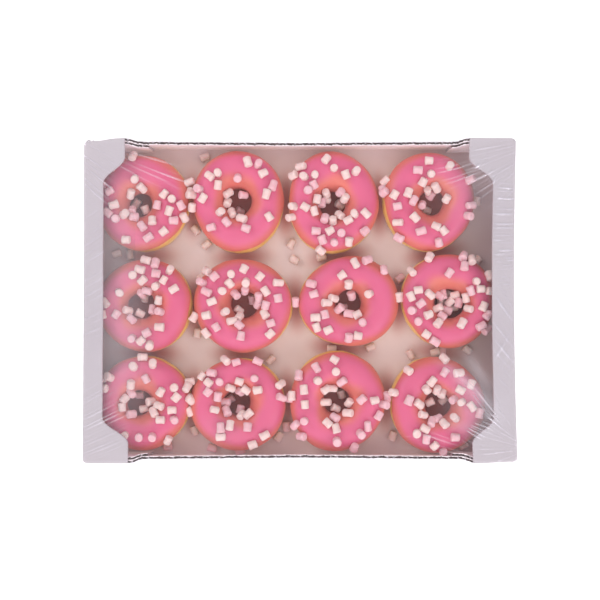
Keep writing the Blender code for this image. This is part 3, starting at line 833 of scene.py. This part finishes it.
def mallow_pattern():
    """A unit marshmallow along Z: radius and half length are both one.

    Its side is a soft-cornered rectangle turned about the axis, pinched a little at the
    waist, and the last ring at each end is closed by a point.
    """
    levels = np.array([-1.0, -0.97, -0.80, -0.3, 0.3, 0.80, 0.97, 1.0])
    radii = np.array([0.55, 0.82, 0.99, 0.94, 0.94, 0.99, 0.82, 0.55])
    turn = np.arange(PATTERN_SIDES) * 2 * math.pi / PATTERN_SIDES
    wide = radii[:, None]
    side = np.stack([wide * np.cos(turn), wide * np.sin(turn), levels[:, None] + 0 * turn], -1)
    points = np.concatenate([side.reshape(-1, 3), [[0, 0, -1.0], [0, 0, 1.0]]])
    quads = grid_quads(len(levels), PATTERN_SIDES, close_columns=True)
    first = np.arange(PATTERN_SIDES)
    after = (first + 1) % PATTERN_SIDES
    last = (len(levels) - 1) * PATTERN_SIDES
    foot = np.stack([after, first, np.full(PATTERN_SIDES, len(points) - 2)], -1)
    head = np.stack([first + last, after + last, np.full(PATTERN_SIDES, len(points) - 1)], -1)
    return points, quads, np.concatenate([foot, head])


PATTERN, PATTERN_QUADS, PATTERN_TRIS = mallow_pattern()
print("one marshmallow:", len(PATTERN_QUADS) * 2 + len(PATTERN_TRIS), "triangles")

# %% [markdown]
# Where do they lie? By a rule with seeded draws. The first nine on each doughnut are the
# ones that the solids have, drawn in the same order, half of them on one crowded side. Four
# lie at the hole. The rest fill up to the number that the photograph shows: three in four
# of them in one of two crowds, many beside another in a pair, and none too close.

# %% Marshmallow places
PAIR_TURN = 0.27
PAIR_AROUND = 0.52
PAIR_BAND = (38, 150)
CROWD_SPREAD = 2.4
UPRIGHT_SHARE = 0.2
SUNK = 0.9 * MM


def surface_frame(ring, seed, turn, around):
    """A point on the icing with its outward direction and its direction round the ring."""
    nudge = 0.02
    grid = ring_points(ring, seed, np.array([turn, turn + nudge, turn]),
                       np.array([around, around, around + nudge]), ICING_LIFT)
    along = grid[1] - grid[0]
    normal = np.cross(along, grid[2] - grid[0])
    normal = normal / np.linalg.norm(normal)
    if normal[2] < 0:
        normal = -normal
    return grid[0], normal, along / np.linalg.norm(along)


def stuck_places(ring, seed, found, source, count, crowded, clear, band, crowd, paired=0.0):
    """Places for marshmallows on one doughnut, each a centre, an axis and a length.

    found holds the centres so far and, for this doughnut, the angles of each. crowded is the
    angle of the crowd, and crowd the share that it draws. band is the lowest section angle
    and how many degrees there are above it. The share paired lies beside one that is there
    already, a marshmallow's width away in a drawn direction. clear is the least distance.
    """
    draw = np.random.RandomState(source)
    origin = place_of(ring)
    taken, angles = found
    places = []
    for attempt in range(400 + 40 * count):
        chance, spread, any_turn, across, spin, stands, size = draw.uniform(0, 1, 7)
        in_crowd = math.radians(crowded) + (spread - 0.5) * CROWD_SPREAD
        turn = in_crowd if chance < crowd else any_turn * 2 * math.pi
        around = math.radians(band[0] + band[1] * across)
        if paired and angles:
            beside, which, way = draw.uniform(0, 1, 3)
            if beside < paired:
                near = angles[int(which * len(angles))]
                turn = near[0] + PAIR_TURN * math.cos(way * 2 * math.pi)
                around = near[1] + PAIR_AROUND * math.sin(way * 2 * math.pi)
                if not math.radians(PAIR_BAND[0]) < around < math.radians(PAIR_BAND[1]):
                    continue
        spot, normal, along = surface_frame(ring, seed, turn, around)
        centre = spot + origin
        if taken and np.linalg.norm(np.array(taken) - centre, axis=1).min() < clear:
            continue
        axis = along * math.cos(spin * math.pi) + np.cross(normal, along) * math.sin(spin * math.pi)
        upright = stands < UPRIGHT_SHARE
        length = MALLOW_LENGTH * (0.84 + 0.22 * size)
        rise = (length / 2 if upright else MALLOW_RADIUS) - SUNK
        places.append((centre + normal * rise, normal if upright else axis, length))
        taken.append(centre)
        angles.append((turn, around))
        if len(places) == count:
            break
    return places


SAME_AS_SOLIDS = 9
AT_HOLE = 4
SPARSE = {"clear": 10.3 * MM, "band": (62, 66), "crowd": 0.5}
HOLE_SIDE = {"clear": 7.6 * MM, "band": (128, 32), "crowd": 0.3}
CROWDED = {"clear": 7.7 * MM, "band": (40, 105), "crowd": 0.75, "paired": 0.45}
taken, places = [], []
angles = [[] for ring in RINGS]
for seed, ring in enumerate(RINGS.values()):
    places += stuck_places(ring, seed, (taken, angles[seed]), seed + 200, SAME_AS_SOLIDS,
                           ring.crowded, **SPARSE)
for seed, ring in enumerate(RINGS.values()):
    left = ring.carries - SAME_AS_SOLIDS - AT_HOLE
    for source, count, crowded, rule in ((300, AT_HOLE, ring.crowded, HOLE_SIDE),
                                         (500, left // 2, ring.crowded, CROWDED),
                                         (700, left - left // 2, ring.second, CROWDED)):
        places += stuck_places(ring, seed, (taken, angles[seed]), seed + source, count, crowded,
                               **rule)
print(len(places), "marshmallows stuck to icing")

# %% [markdown]
# More have rolled off. Some lie on the floor between the doughnuts, where the solids have
# them too, and some are caught in the narrow gaps between neighbours. A heap fills the hole
# of one doughnut on the right, and two have dropped into the hole of every other.

# %% Loose marshmallows
SOLID_SIDES = 6

# Centre x and y in millimetres and heading in degrees. The caught ones have a height too,
# and the last of them are the heap.
ON_FLOOR = [
    (-91.6, 139.0, 20), (-167.5, 138.0, 75), (-100.3, 68.6, 130), (-90.0, 54.5, 40),
    (-176.0, 46.0, 15), (-8.2, 55.2, 60), (-5.3, 40.0, 150),
    (-94.5, 23.5, 35), (-98.4, -30.5, 80), (-101.0, -124.0, 110),
    (-84.0, -140.5, 165), (-28.0, -56.0, 45), (-13.0, -120.0, 95), (30.5, -45.5, 0),
    (88.8, -129.0, 70), (67.7, -44.0, 25), (106.0, -51.0, 120), (170.3, 39.0, 50),
    (156.5, -137.5, 30), (137.0, -47.5, 85), (160.5, -46.5, 140),
    (136.5, 4.0, 20), (147.5, 1.5, 100), (139.5, -7.5, 155),
]
CAUGHT = [
    (-103.7, 101.8, 80, 31), (-104.2, 112.0, 20, 30), (-4.2, -1.4, 90, 31), (-99.9, -15.5, 60, 31),
    (-103.5, -76.0, 10, 31), (-103.2, -92.0, 70, 31), (-103.8, -104.0, 120, 30),
    (-9.5, -91.0, 85, 31), (93.3, 3.3, 95, 31), (82.0, -90.0, 90, 31), (80.5, 113.0, 45, 30),
    (78.0, 104.0, 100, 31), (-163.6, 44.6, 100, 8), (170.5, 96.4, 95, 8), (20.6, 42.5, 10, 8),
    (96.0, 22.0, 35, 8), (-20.5, -129.5, 60, 8), (-127.0, -138.5, 5, 8),
    (-57.0, -142.0, 20, 14), (130.0, -49.0, 20, 8), (141.0, 5.0, 60, 16), (137.5, -4.0, 130, 16),
    (146.0, -6.0, 10, 17), (134.0, -1.0, 90, 18), (142.0, -1.0, 45, 24), (147.0, 5.5, 15, 24),
    (135.5, 6.0, 100, 25), (139.0, -9.0, 160, 25), (150.0, -2.0, 75, 26),
]
HEAP_IN = "r2c4"


def flat_axis(heading, rise=0.0):
    """A direction from a heading in degrees, level or with a rise."""
    return np.array([math.cos(math.radians(heading)), math.sin(math.radians(heading)), rise])


def hole_places(ring, seed):
    """Two marshmallows that fell into a doughnut's hole and lean on its wall."""
    draw = np.random.RandomState(seed + 900)
    first, apart, low, high, spin, turn = draw.uniform(0, 1, 6)
    centre = np.array([(ring.x + ring.shift_x) * MM, (ring.y + ring.shift_y) * MM, FLOOR_Z])
    out = (ring.hole - 4.6) * MM
    lower = first * ABOUT_A_TURN
    places = []
    for angle, height, heading in ((lower, 7 + 6 * low, spin * 180),
                                   (lower + 2.1 + 2 * apart, 17 + 7 * high, turn * 180)):
        side = np.array([math.cos(angle) * out, math.sin(angle) * out, height * MM])
        places.append((centre + side, flat_axis(heading, 0.6 * spin), 0.92 * MALLOW_LENGTH))
    return places


# A six-sided solid lies on a flat side, and the round one here keeps its centre. The sine of
# a heading, taken as it is, gives each caught one a tilt of its own.
floor_rest = FLOOR_Z + GAP + MALLOW_RADIUS * math.cos(math.pi / SOLID_SIDES)
for x, y, heading in ON_FLOOR:
    places.append((np.array([x * MM, y * MM, floor_rest]), flat_axis(heading), MALLOW_LENGTH))
for x, y, heading, z in CAUGHT:
    places.append((np.array([x, y, z]) * MM, flat_axis(heading, 0.3 * math.sin(heading)),
                   MALLOW_LENGTH))
for seed, (name, ring) in enumerate(RINGS.items()):
    if name != HEAP_IN:
        places += hole_places(ring, seed)
print(len(ON_FLOOR), "on the floor,", len(CAUGHT), "caught or heaped,", len(places), "in all")

# %% Marshmallow meshes
def mallow_mesh(name, chosen, material, seed):
    """All marshmallows of one colour as one mesh, each with its own squash and roll."""
    draw = np.random.RandomState(seed)
    count = len(chosen)
    centre = np.array([place[0] for place in chosen])
    axis = np.array([place[1] for place in chosen])
    length = np.array([place[2] for place in chosen])
    axis = axis / np.linalg.norm(axis, axis=1, keepdims=True)
    helper = np.where(np.abs(axis[:, 2:]) > 0.9, [[1.0, 0.0, 0.0]], [[0.0, 0.0, 1.0]])
    side = np.cross(helper, axis)
    side = side / np.linalg.norm(side, axis=1, keepdims=True)
    third = np.cross(axis, side)
    roll = draw.uniform(0, 2 * math.pi, count)[:, None]
    side, third = (side * np.cos(roll) + third * np.sin(roll),
                   third * np.cos(roll) - side * np.sin(roll))
    wide = MALLOW_RADIUS * draw.uniform(0.86, 0.97, (count, 1))
    thick = MALLOW_RADIUS * draw.uniform(0.80, 0.96, (count, 1))
    taper = draw.uniform(-0.10, 0.10, (count, 1, 1))
    bend = draw.uniform(-0.10, 0.10, (count, 1, 1))
    shape = np.broadcast_to(PATTERN[None], (count,) + PATTERN.shape).copy()
    shape[..., :2] *= 1 + taper * shape[..., 2:]
    shape[..., :1] += bend * (1 - shape[..., 2:] ** 2)
    basis = np.stack([side * wide, third * thick, axis * length[:, None] / 2], 1)
    points = np.einsum("nki,nij->nkj", shape, basis) + centre[:, None]
    step = (np.arange(count) * len(PATTERN))[:, None, None]
    quads = (PATTERN_QUADS[None] + step).reshape(-1, 4)
    tris = (PATTERN_TRIS[None] + step).reshape(-1, 3)
    piece = mesh_piece(name, points, [quads, tris], [material])
    return piece


WHITE_SHARE = 0.58
white = np.random.RandomState(77).uniform(0, 1, len(places)) < WHITE_SHARE
white_piece = mallow_mesh("marshmallows_white", [p for p, w in zip(places, white) if w], WHITE, 5)
pink_piece = mallow_mesh("marshmallows_pink", [p for p, w in zip(places, white) if not w], PINK, 6)
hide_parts(*[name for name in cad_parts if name.startswith("marshmallow_")])
print("white:", triangles(white_piece), "pink:", triangles(pink_piece), "triangles")

# %% [markdown]
# The film is one sheet, stretched over flanges and ears, pulled down over the long walls
# and turned under the floor. Its top is a grid, crowded towards the ends where it creases.
# The creases are folds in the mesh: low ridges that fan out from the corners, where the
# shrinking film gathers.

# %% Film form
FILM_SAG = 5.5 * MM
FREE_HALF = 130 * MM
FILM_LIFT = 0.5 * MM
FILM_FOLD = 2.2 * MM
HEM = 35 * MM
FILM_INSET = FILM_FOLD - FILM_LIFT
FILM_HALF_X = HALF_LENGTH - FILM_INSET
FILM_HALF_Y = HALF_WIDTH - FILM_INSET
FILM_CORNER = CORNER - FILM_INSET


def film_height(x, y):
    """Height of the stretched film: a saddle between the two flanges."""
    free = np.clip(1.0 - (x / FREE_HALF) ** 2, 0.0, None)
    edge = np.minimum(1.0, np.abs(y) / HALF_WIDTH) ** 2
    return TRAY_Z + FLANGE_HEIGHT - FILM_SAG * free * (0.55 + 0.45 * edge)


# Each field of creases: where its lines meet, the way they leave it in degrees, how many
# there are to a radian, the oval that they show in (centre, half widths, turn) and how
# strong they are, as relief and as painted highlight. Lengths are in millimetres.
CREASES = [
    ((251, 155), 203, 25.0, (181, 122), (34, 46), 0, 0.42),
    ((208, 165), 230, 24.0, (171, 119), (22, 8), -43, 0.50),
    ((260, 152), 195, 31.0, (148, 122), (27, 28), 0, 0.36),
    ((212, -138), 160, 11.0, (184, -126), (29, 34), 0, 0.42),
    ((82, -84), -25, 33.0, (164, -120), (25, 10), 40, 0.62),
    ((78, 17), -50, 33.0, (172, -97), (22, 12), -50, 0.24),
    ((-542, -289), 25, 122.0, (-184, -112), (30, 46), 0, 0.45),
    ((-426, 307), -38, 68.0, (-187, 118), (22, 38), 0, 0.42),
    ((-240, 160), -20, 21.0, (-136, 121), (46, 17), -18, 0.42),
    ((600, 70), 180, 120.0, (191, 62), (15, 66), 0, 0.85),
    ((383, -270), 130, 40.0, (191, -30), (15, 64), 0, 0.42),
    ((0, -330), 57, 45.0, (191, -45), (14, 50), 0, 0.28),
    ((-560, -190), 30, 90.0, (-191, 20), (13, 90), 0, 0.38),
    ((260, -176), 170, 30.0, (122, -133), (42, 13), -6, 0.26),
]
CREASE_PARTS = (0.72, 1.0, 1.43)
CREASE_WAVER = 60.0
CREASE_HEIGHT = 1.1 * MM


def turned(x, y, centre, heading):
    """Distances from a centre in millimetres, along a heading and across it."""
    dx, dy = x - centre[0] * MM, y - centre[1] * MM
    cosine, sine = math.cos(math.radians(heading)), math.sin(math.radians(heading))
    return dx * cosine + dy * sine, dy * cosine - dx * sine


def oval(x, y, centre, radii, heading, firm=0.45):
    """1 in the middle of an oval, falling from the share firm on to 0 at its border."""
    along, across = turned(x, y, centre, heading)
    return smooth_step(1.0, firm, np.hypot(along / (radii[0] * MM), across / (radii[1] * MM)))


def creases(x, y):
    """How strongly the film is creased at each point, from 0 to 1, also used for painted highlights.

    In each field three waves in the angle about the meeting point are added up, and only
    their crests are kept, so the lines are narrow and no two gaps are alike. The distance
    from the meeting point wavers the lines and makes them fade and return.
    """
    draw = np.random.RandomState(41)
    total = np.zeros(x.shape)
    for meet, heading, count, centre, radii, turn, strength in CREASES:
        along, across = turned(x, y, meet, heading)
        angle, away = np.arctan2(across, along), np.hypot(along, across)
        wave = np.zeros(x.shape)
        for part in CREASE_PARTS:
            phase, drift = draw.uniform(0, 2 * math.pi, 2)
            waver = 0.5 * np.sin(CREASE_WAVER * away * part + drift)
            wave = wave + np.sin(2 * math.pi * count * part * angle + phase + waver)
        crest = smooth_step(0.14, 0.72, wave / len(CREASE_PARTS))
        pulse = 0.62 + 0.38 * np.sin(95 * away + 7 * count * angle + phase)
        total = total + strength * crest * pulse * oval(x, y, centre, radii, turn)
    return np.clip(total, 0.0, 1.0)


# Each patch or band of painted glare, a reflection painted on the film: its centre, half
# widths, turn in degrees and strength.
PAINTED_GLARE = [
    ((-166, 60), (50, 150), 0, 0.12), ((-164, -60), (48, 120), 0, 0.13),
    ((160, 104), (60, 60), 0, 0.09), ((188, 0), (20, 190), 0, 0.05),
    ((162, -98), (46, 40), -30, 0.15), ((150, -73), (52, 12), -40, 0.13),
    ((147, -71), (28, 5), -36, 0.07), ((163, -63), (34, 10), -55, 0.14),
    ((174, -98), (28, 8), -48, 0.06), ((150, -118), (46, 12), -12, 0.08),
    ((-72, -120), (44, 30), 10, 0.05),
]


def painted_glare(x, y):
    """How much painted glare lies on the film at each point: a sum of soft ovals."""
    total = np.zeros(x.shape)
    for centre, radii, turn, strength in PAINTED_GLARE:
        total = total + strength * oval(x, y, centre, radii, turn, 0.0)
    return total


def film_waves(x, y):
    """Slow waves of the film where it spans the doughnuts."""
    inside = smooth_step(185 * MM, 150 * MM, np.abs(x)) * smooth_step(148 * MM, 120 * MM, np.abs(y))
    ripple = np.sin(x * 55 + y * 25) * np.sin(y * 38 - x * 12 + 1.0)
    return 0.35 * MM * ripple * inside

# %% Film mesh
def crowded(half, inner, inner_count, outer_count):
    """Positions from -half to half: even inside a band, closer together outside it."""
    middle = np.linspace(-inner, inner, inner_count)
    outer = np.linspace(inner, half, outer_count)[1:]
    return np.concatenate([-outer[::-1], middle, outer])


def by_side(sign, curve, *at):
    """A curve of side 1 where sign is above 0, and the same curve of side -1 elsewhere."""
    return np.where(sign > 0, curve(1, *at), curve(-1, *at))


def edge_pull(x, y):
    """The long wall's bow, its pull beside the corners, and how near each point is to it."""
    near_edge = smooth_step(30 * MM, 0, FILM_HALF_Y - np.abs(y))
    return by_side(y, long_bow, x), by_side(y, corner_pull, x, FILM_HALF_X), near_edge


def film_plan():
    """Plan of the top grid: a square one whose four corners are pulled to a rounder line."""
    x, y = np.meshgrid(crowded(FILM_HALF_X, 108 * MM, inner_count=26, outer_count=112),
                       crowded(FILM_HALF_Y, 92 * MM, inner_count=160, outer_count=80),
                       indexing="ij")
    straight_x, straight_y = FILM_HALF_X - FILM_CORNER, FILM_HALF_Y - FILM_CORNER
    across = np.clip((np.abs(x) - straight_x) / FILM_CORNER, 0, 1)
    along = np.clip((np.abs(y) - straight_y) / FILM_CORNER, 0, 1)
    corner = (across > 0) & (along > 0)
    round_x = straight_x + FILM_CORNER * across * np.sqrt(1 - along ** 2 / 2)
    round_y = straight_y + FILM_CORNER * along * np.sqrt(1 - across ** 2 / 2)
    return np.where(corner, np.sign(x) * round_x, x), np.where(corner, np.sign(y) * round_y, y)


def film_top(x, y, crease_and_sheen):
    """The stretched top: pulled in as the board bows, and raised along the creases."""
    bow, corner, near_edge = edge_pull(x, y)
    pull_x = by_side(x, end_bow, y) * (np.abs(x) / FILM_HALF_X) ** 4
    pull_y = bow * (np.abs(y) / FILM_HALF_Y) ** 6 + corner * near_edge
    to_border = np.minimum(FILM_HALF_X - np.abs(x), FILM_HALF_Y - np.abs(y))
    relief = (CREASE_HEIGHT * crease_and_sheen + film_waves(x, y)) * smooth_step(0, 5 * MM, to_border)
    return np.stack([x - np.sign(x) * pull_x, y - np.sign(y) * pull_y,
                     film_height(x, y) + FILM_LIFT + relief], -1)


def film_sides(x, y):
    """Loops of points round the border: over the fold, down the sides, under the floor."""
    straight_x, straight_y = FILM_HALF_X - FILM_CORNER, FILM_HALF_Y - FILM_CORNER
    out = np.stack([x - np.clip(x, -straight_x, straight_x),
                    y - np.clip(y, -straight_y, straight_y)], -1)
    out = out / np.linalg.norm(out, axis=1, keepdims=True)
    bow, corner, near_edge = edge_pull(x, y)
    bow_x = by_side(x, end_bow, y) * np.abs(out[:, 0])
    bow_y = (bow + corner) * near_edge
    start = film_height(x, y) + FILM_LIFT
    base = TRAY_Z - FILM_LIFT
    path = np.cumsum(np.hypot(np.roll(x, -1) - x, np.roll(y, -1) - y))
    tuck = np.sin(path * 210) * np.sin(path * 57 + 1) + 0.6 * np.sin(path * 480 + 2)
    strips = [(FILM_FOLD * math.sin(turn), start - FILM_FOLD * (1 - math.cos(turn)), 1.0)
              for turn in np.radians([25, 50, 70, 90])]
    for share in np.linspace(0, 1, 8)[1:]:
        level = start - FILM_FOLD + (base - start + FILM_FOLD) * share
        swell = 0.10 * MM * tuck * math.sin(math.pi * min(1.0, share * 1.05)) ** 0.5
        strips.append((FILM_FOLD + swell, level, lean(level - TRAY_Z)))
    loops = [np.stack([x + out[:, 0] * push - np.sign(x) * bow_x * bowed,
                       y + out[:, 1] * push - np.sign(y) * bow_y * bowed, level], -1)
             for push, level, bowed in strips]
    hem = [np.stack([x * (1 - HEM * share / HALF_LENGTH), y * (1 - HEM * share / HALF_WIDTH),
                     base + 0 * x], -1) for share in (0.05, 1.0)]
    return loops + hem


def film_piece():
    """Top grid, and squares between the loops that go down round its border."""
    x, y = film_plan()
    crease_and_sheen = creases(x, y)
    border = border_numbers(*x.shape)
    loops = film_sides(x.ravel()[border], y.ravel()[border])
    points = np.concatenate([film_top(x, y, crease_and_sheen).reshape(-1, 3)] + loops)
    quads = [grid_quads(*x.shape)[:, ::-1]]
    count = len(border)
    numbers = [border] + [x.size + k * count + np.arange(count) for k in range(len(loops))]
    for upper, lower in zip(numbers[:-1], numbers[1:]):
        quads.append(np.stack([upper, np.roll(upper, -1), np.roll(lower, -1), lower], -1))
    rest = np.zeros(len(points) - x.size)
    values = {"crease_and_sheen": np.concatenate([crease_and_sheen.ravel(), rest]),
              "painted_glare": np.concatenate([painted_glare(x, y).ravel(), rest])}
    return mesh_piece("film_wrap", points, np.concatenate(quads), [FILM], values)

# %% [markdown]
# Clear film shows only by what it reflects. So its finish is a blend of a transparent shader
# and a mirror-like one. The share of mirror is the Fresnel reflection, up to a limit that keeps
# the food in sight from low down, plus painted glare and painted highlights along the creases,
# both worked out for each point of the mesh.

# %% Film finish
GRAZING_GLOSS = 0.2
MOST_GLOSS = 0.6


def film_finish():
    """Clear film: transparent, with Fresnel gloss and painted glare and highlights from the mesh."""
    material, tree, shader = new_material("clear_film", Base_Color=(0.95, 0.90, 1.0, 1.0),
                                          Metallic=1.0)
    # The mirror's lilac colour tints its reflections. Painted glare and the values of the creases raise its
    # share: painted reflection and painted highlights.
    glare = mesh_value(tree, "painted_glare")
    painted_sheen = calculate(tree, "ADD", glare, mesh_value(tree, "crease_and_sheen"))
    fresnel = add_node(tree, "ShaderNodeFresnel", IOR=1.5).outputs[0]
    slanting = calculate(tree, "MINIMUM", fresnel, GRAZING_GLOSS)
    gloss = calculate(tree, "ADD", slanting, painted_sheen, clamp=True)
    share = calculate(tree, "MINIMUM", gloss, MOST_GLOSS)
    rough = add_node(tree, "ShaderNodeMapRange", Value=glare, From_Max=0.25, To_Min=0.10,
                     To_Max=0.55)
    feed(tree, shader.inputs["Roughness"], rough.outputs["Result"])
    clear = tree.nodes.new("ShaderNodeBsdfTransparent")
    mix = tree.nodes.new("ShaderNodeMixShader")
    for socket, part in zip(mix.inputs, (share, clear.outputs[0], shader.outputs[0])):
        feed(tree, socket, part)
    feed(tree, tree.nodes["Material Output"].inputs["Surface"], mix.outputs[0])
    return material


FILM = film_finish()
film_wrap = film_piece()
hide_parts("film")
print(film_wrap.name, triangles(film_wrap), "triangles")

# %% [markdown]
# The pack lies on a white ground under soft light, as in a catalogue picture. The sky does
# most of the work: it is bright overhead and brightest high up towards the front. A small
# panel at the back left and a weaker one at the front right give the food its soft shades.
# The camera looks down, a little from the front.

# %% Ground and light
GROUND_HALF = 60.0
GROUND_DROP = 0.2 * MM


def ground():
    """A wide white sheet just under the pack."""
    corners = [(x * GROUND_HALF, y * GROUND_HALF, -GROUND_DROP)
               for x, y in ((-1, -1), (1, -1), (1, 1), (-1, 1))]
    mesh = bpy.data.meshes.new("ground")
    mesh.from_pydata(corners, [], [(0, 1, 2, 3)])
    mesh.materials.append(new_material("white_ground", Base_Color=(0.96, 0.96, 0.96, 1.0),
                                       Roughness=0.9, Emission_Color=(1.0, 1.0, 1.0, 1.0),
                                       Emission_Strength=0.4)[0])
    add_object("ground", mesh)


def soft_light(name, place, size, power):
    """A square panel light that faces the middle of the pack."""
    light = bpy.data.lights.new(name, "AREA")
    light.shape = "SQUARE"
    light.size = size
    light.energy = power
    lamp = add_object(name, light)
    lamp.location = place
    lamp.rotation_euler = (-Vector(place)).to_track_quat("-Z", "Y").to_euler()


def smooth_rise(tree, value, **limits):
    """A smooth rise of one value between the limits of a Map Range node."""
    return add_node(tree, "ShaderNodeMapRange", {"interpolation_type": "SMOOTHSTEP"},
                    Value=value, **limits).outputs["Result"]


def soft_sky(horizon, zenith, front):
    """A white sky that grows brighter towards the top and high up towards the front.

    Where the camera looks straight at it, its strength is at least one, so it shows plain white.
    """
    sky = bpy.data.worlds.new("sky")
    sky.use_nodes = True
    tree = sky.node_tree
    way = tree.nodes.new("ShaderNodeTexCoord").outputs["Generated"]
    split = add_node(tree, "ShaderNodeSeparateXYZ", Vector=way)
    overhead = smooth_rise(tree, split.outputs["Z"], To_Min=horizon, To_Max=zenith)
    forward = smooth_rise(tree, split.outputs["Y"], From_Max=-1.0, To_Max=front)
    raised = smooth_rise(tree, split.outputs["Z"], From_Min=0.1, From_Max=0.6, To_Min=0.1)
    total = calculate(tree, "MULTIPLY_ADD", forward, raised, overhead)
    ray = tree.nodes.new("ShaderNodeLightPath")
    shown = calculate(tree, "MAXIMUM", total, ray.outputs["Is Camera Ray"])
    feed_all(tree, tree.nodes["Background"], {"Color": (1.0, 1.0, 1.0, 1.0), "Strength": shown})
    bpy.context.scene.world = sky


ground()
soft_light("key_panel", (-1.0, 0.7, 1.25), size=0.6, power=6.7)
soft_light("fill_panel", (1.1, -0.6, 1.3), size=0.7, power=4.2)
soft_sky(horizon=0.40, zenith=0.91, front=2.08)
bpy.context.scene.view_settings.view_transform = "Standard"

# %% Camera
VIEW_WIDTH = 0.552
CAMERA_AWAY = 1.1
CAMERA_FORWARD = 0.03


def camera():
    """A long lens above the tray, aimed at the middle of the flange's level."""
    data = bpy.data.cameras.new("camera")
    data.sensor_width = 36.0
    data.lens = data.sensor_width * CAMERA_AWAY / VIEW_WIDTH
    eye = add_object("camera", data)
    target = Vector((0.0, 0.0, TRAY_Z + FLANGE_HEIGHT))
    eye.location = target + Vector((0.0, -CAMERA_FORWARD, CAMERA_AWAY))
    eye.rotation_euler = (target - eye.location).to_track_quat("-Z", "Y").to_euler()
    bpy.context.scene.camera = eye
    return data.lens


print("lens:", round(camera(), 1), "mm")
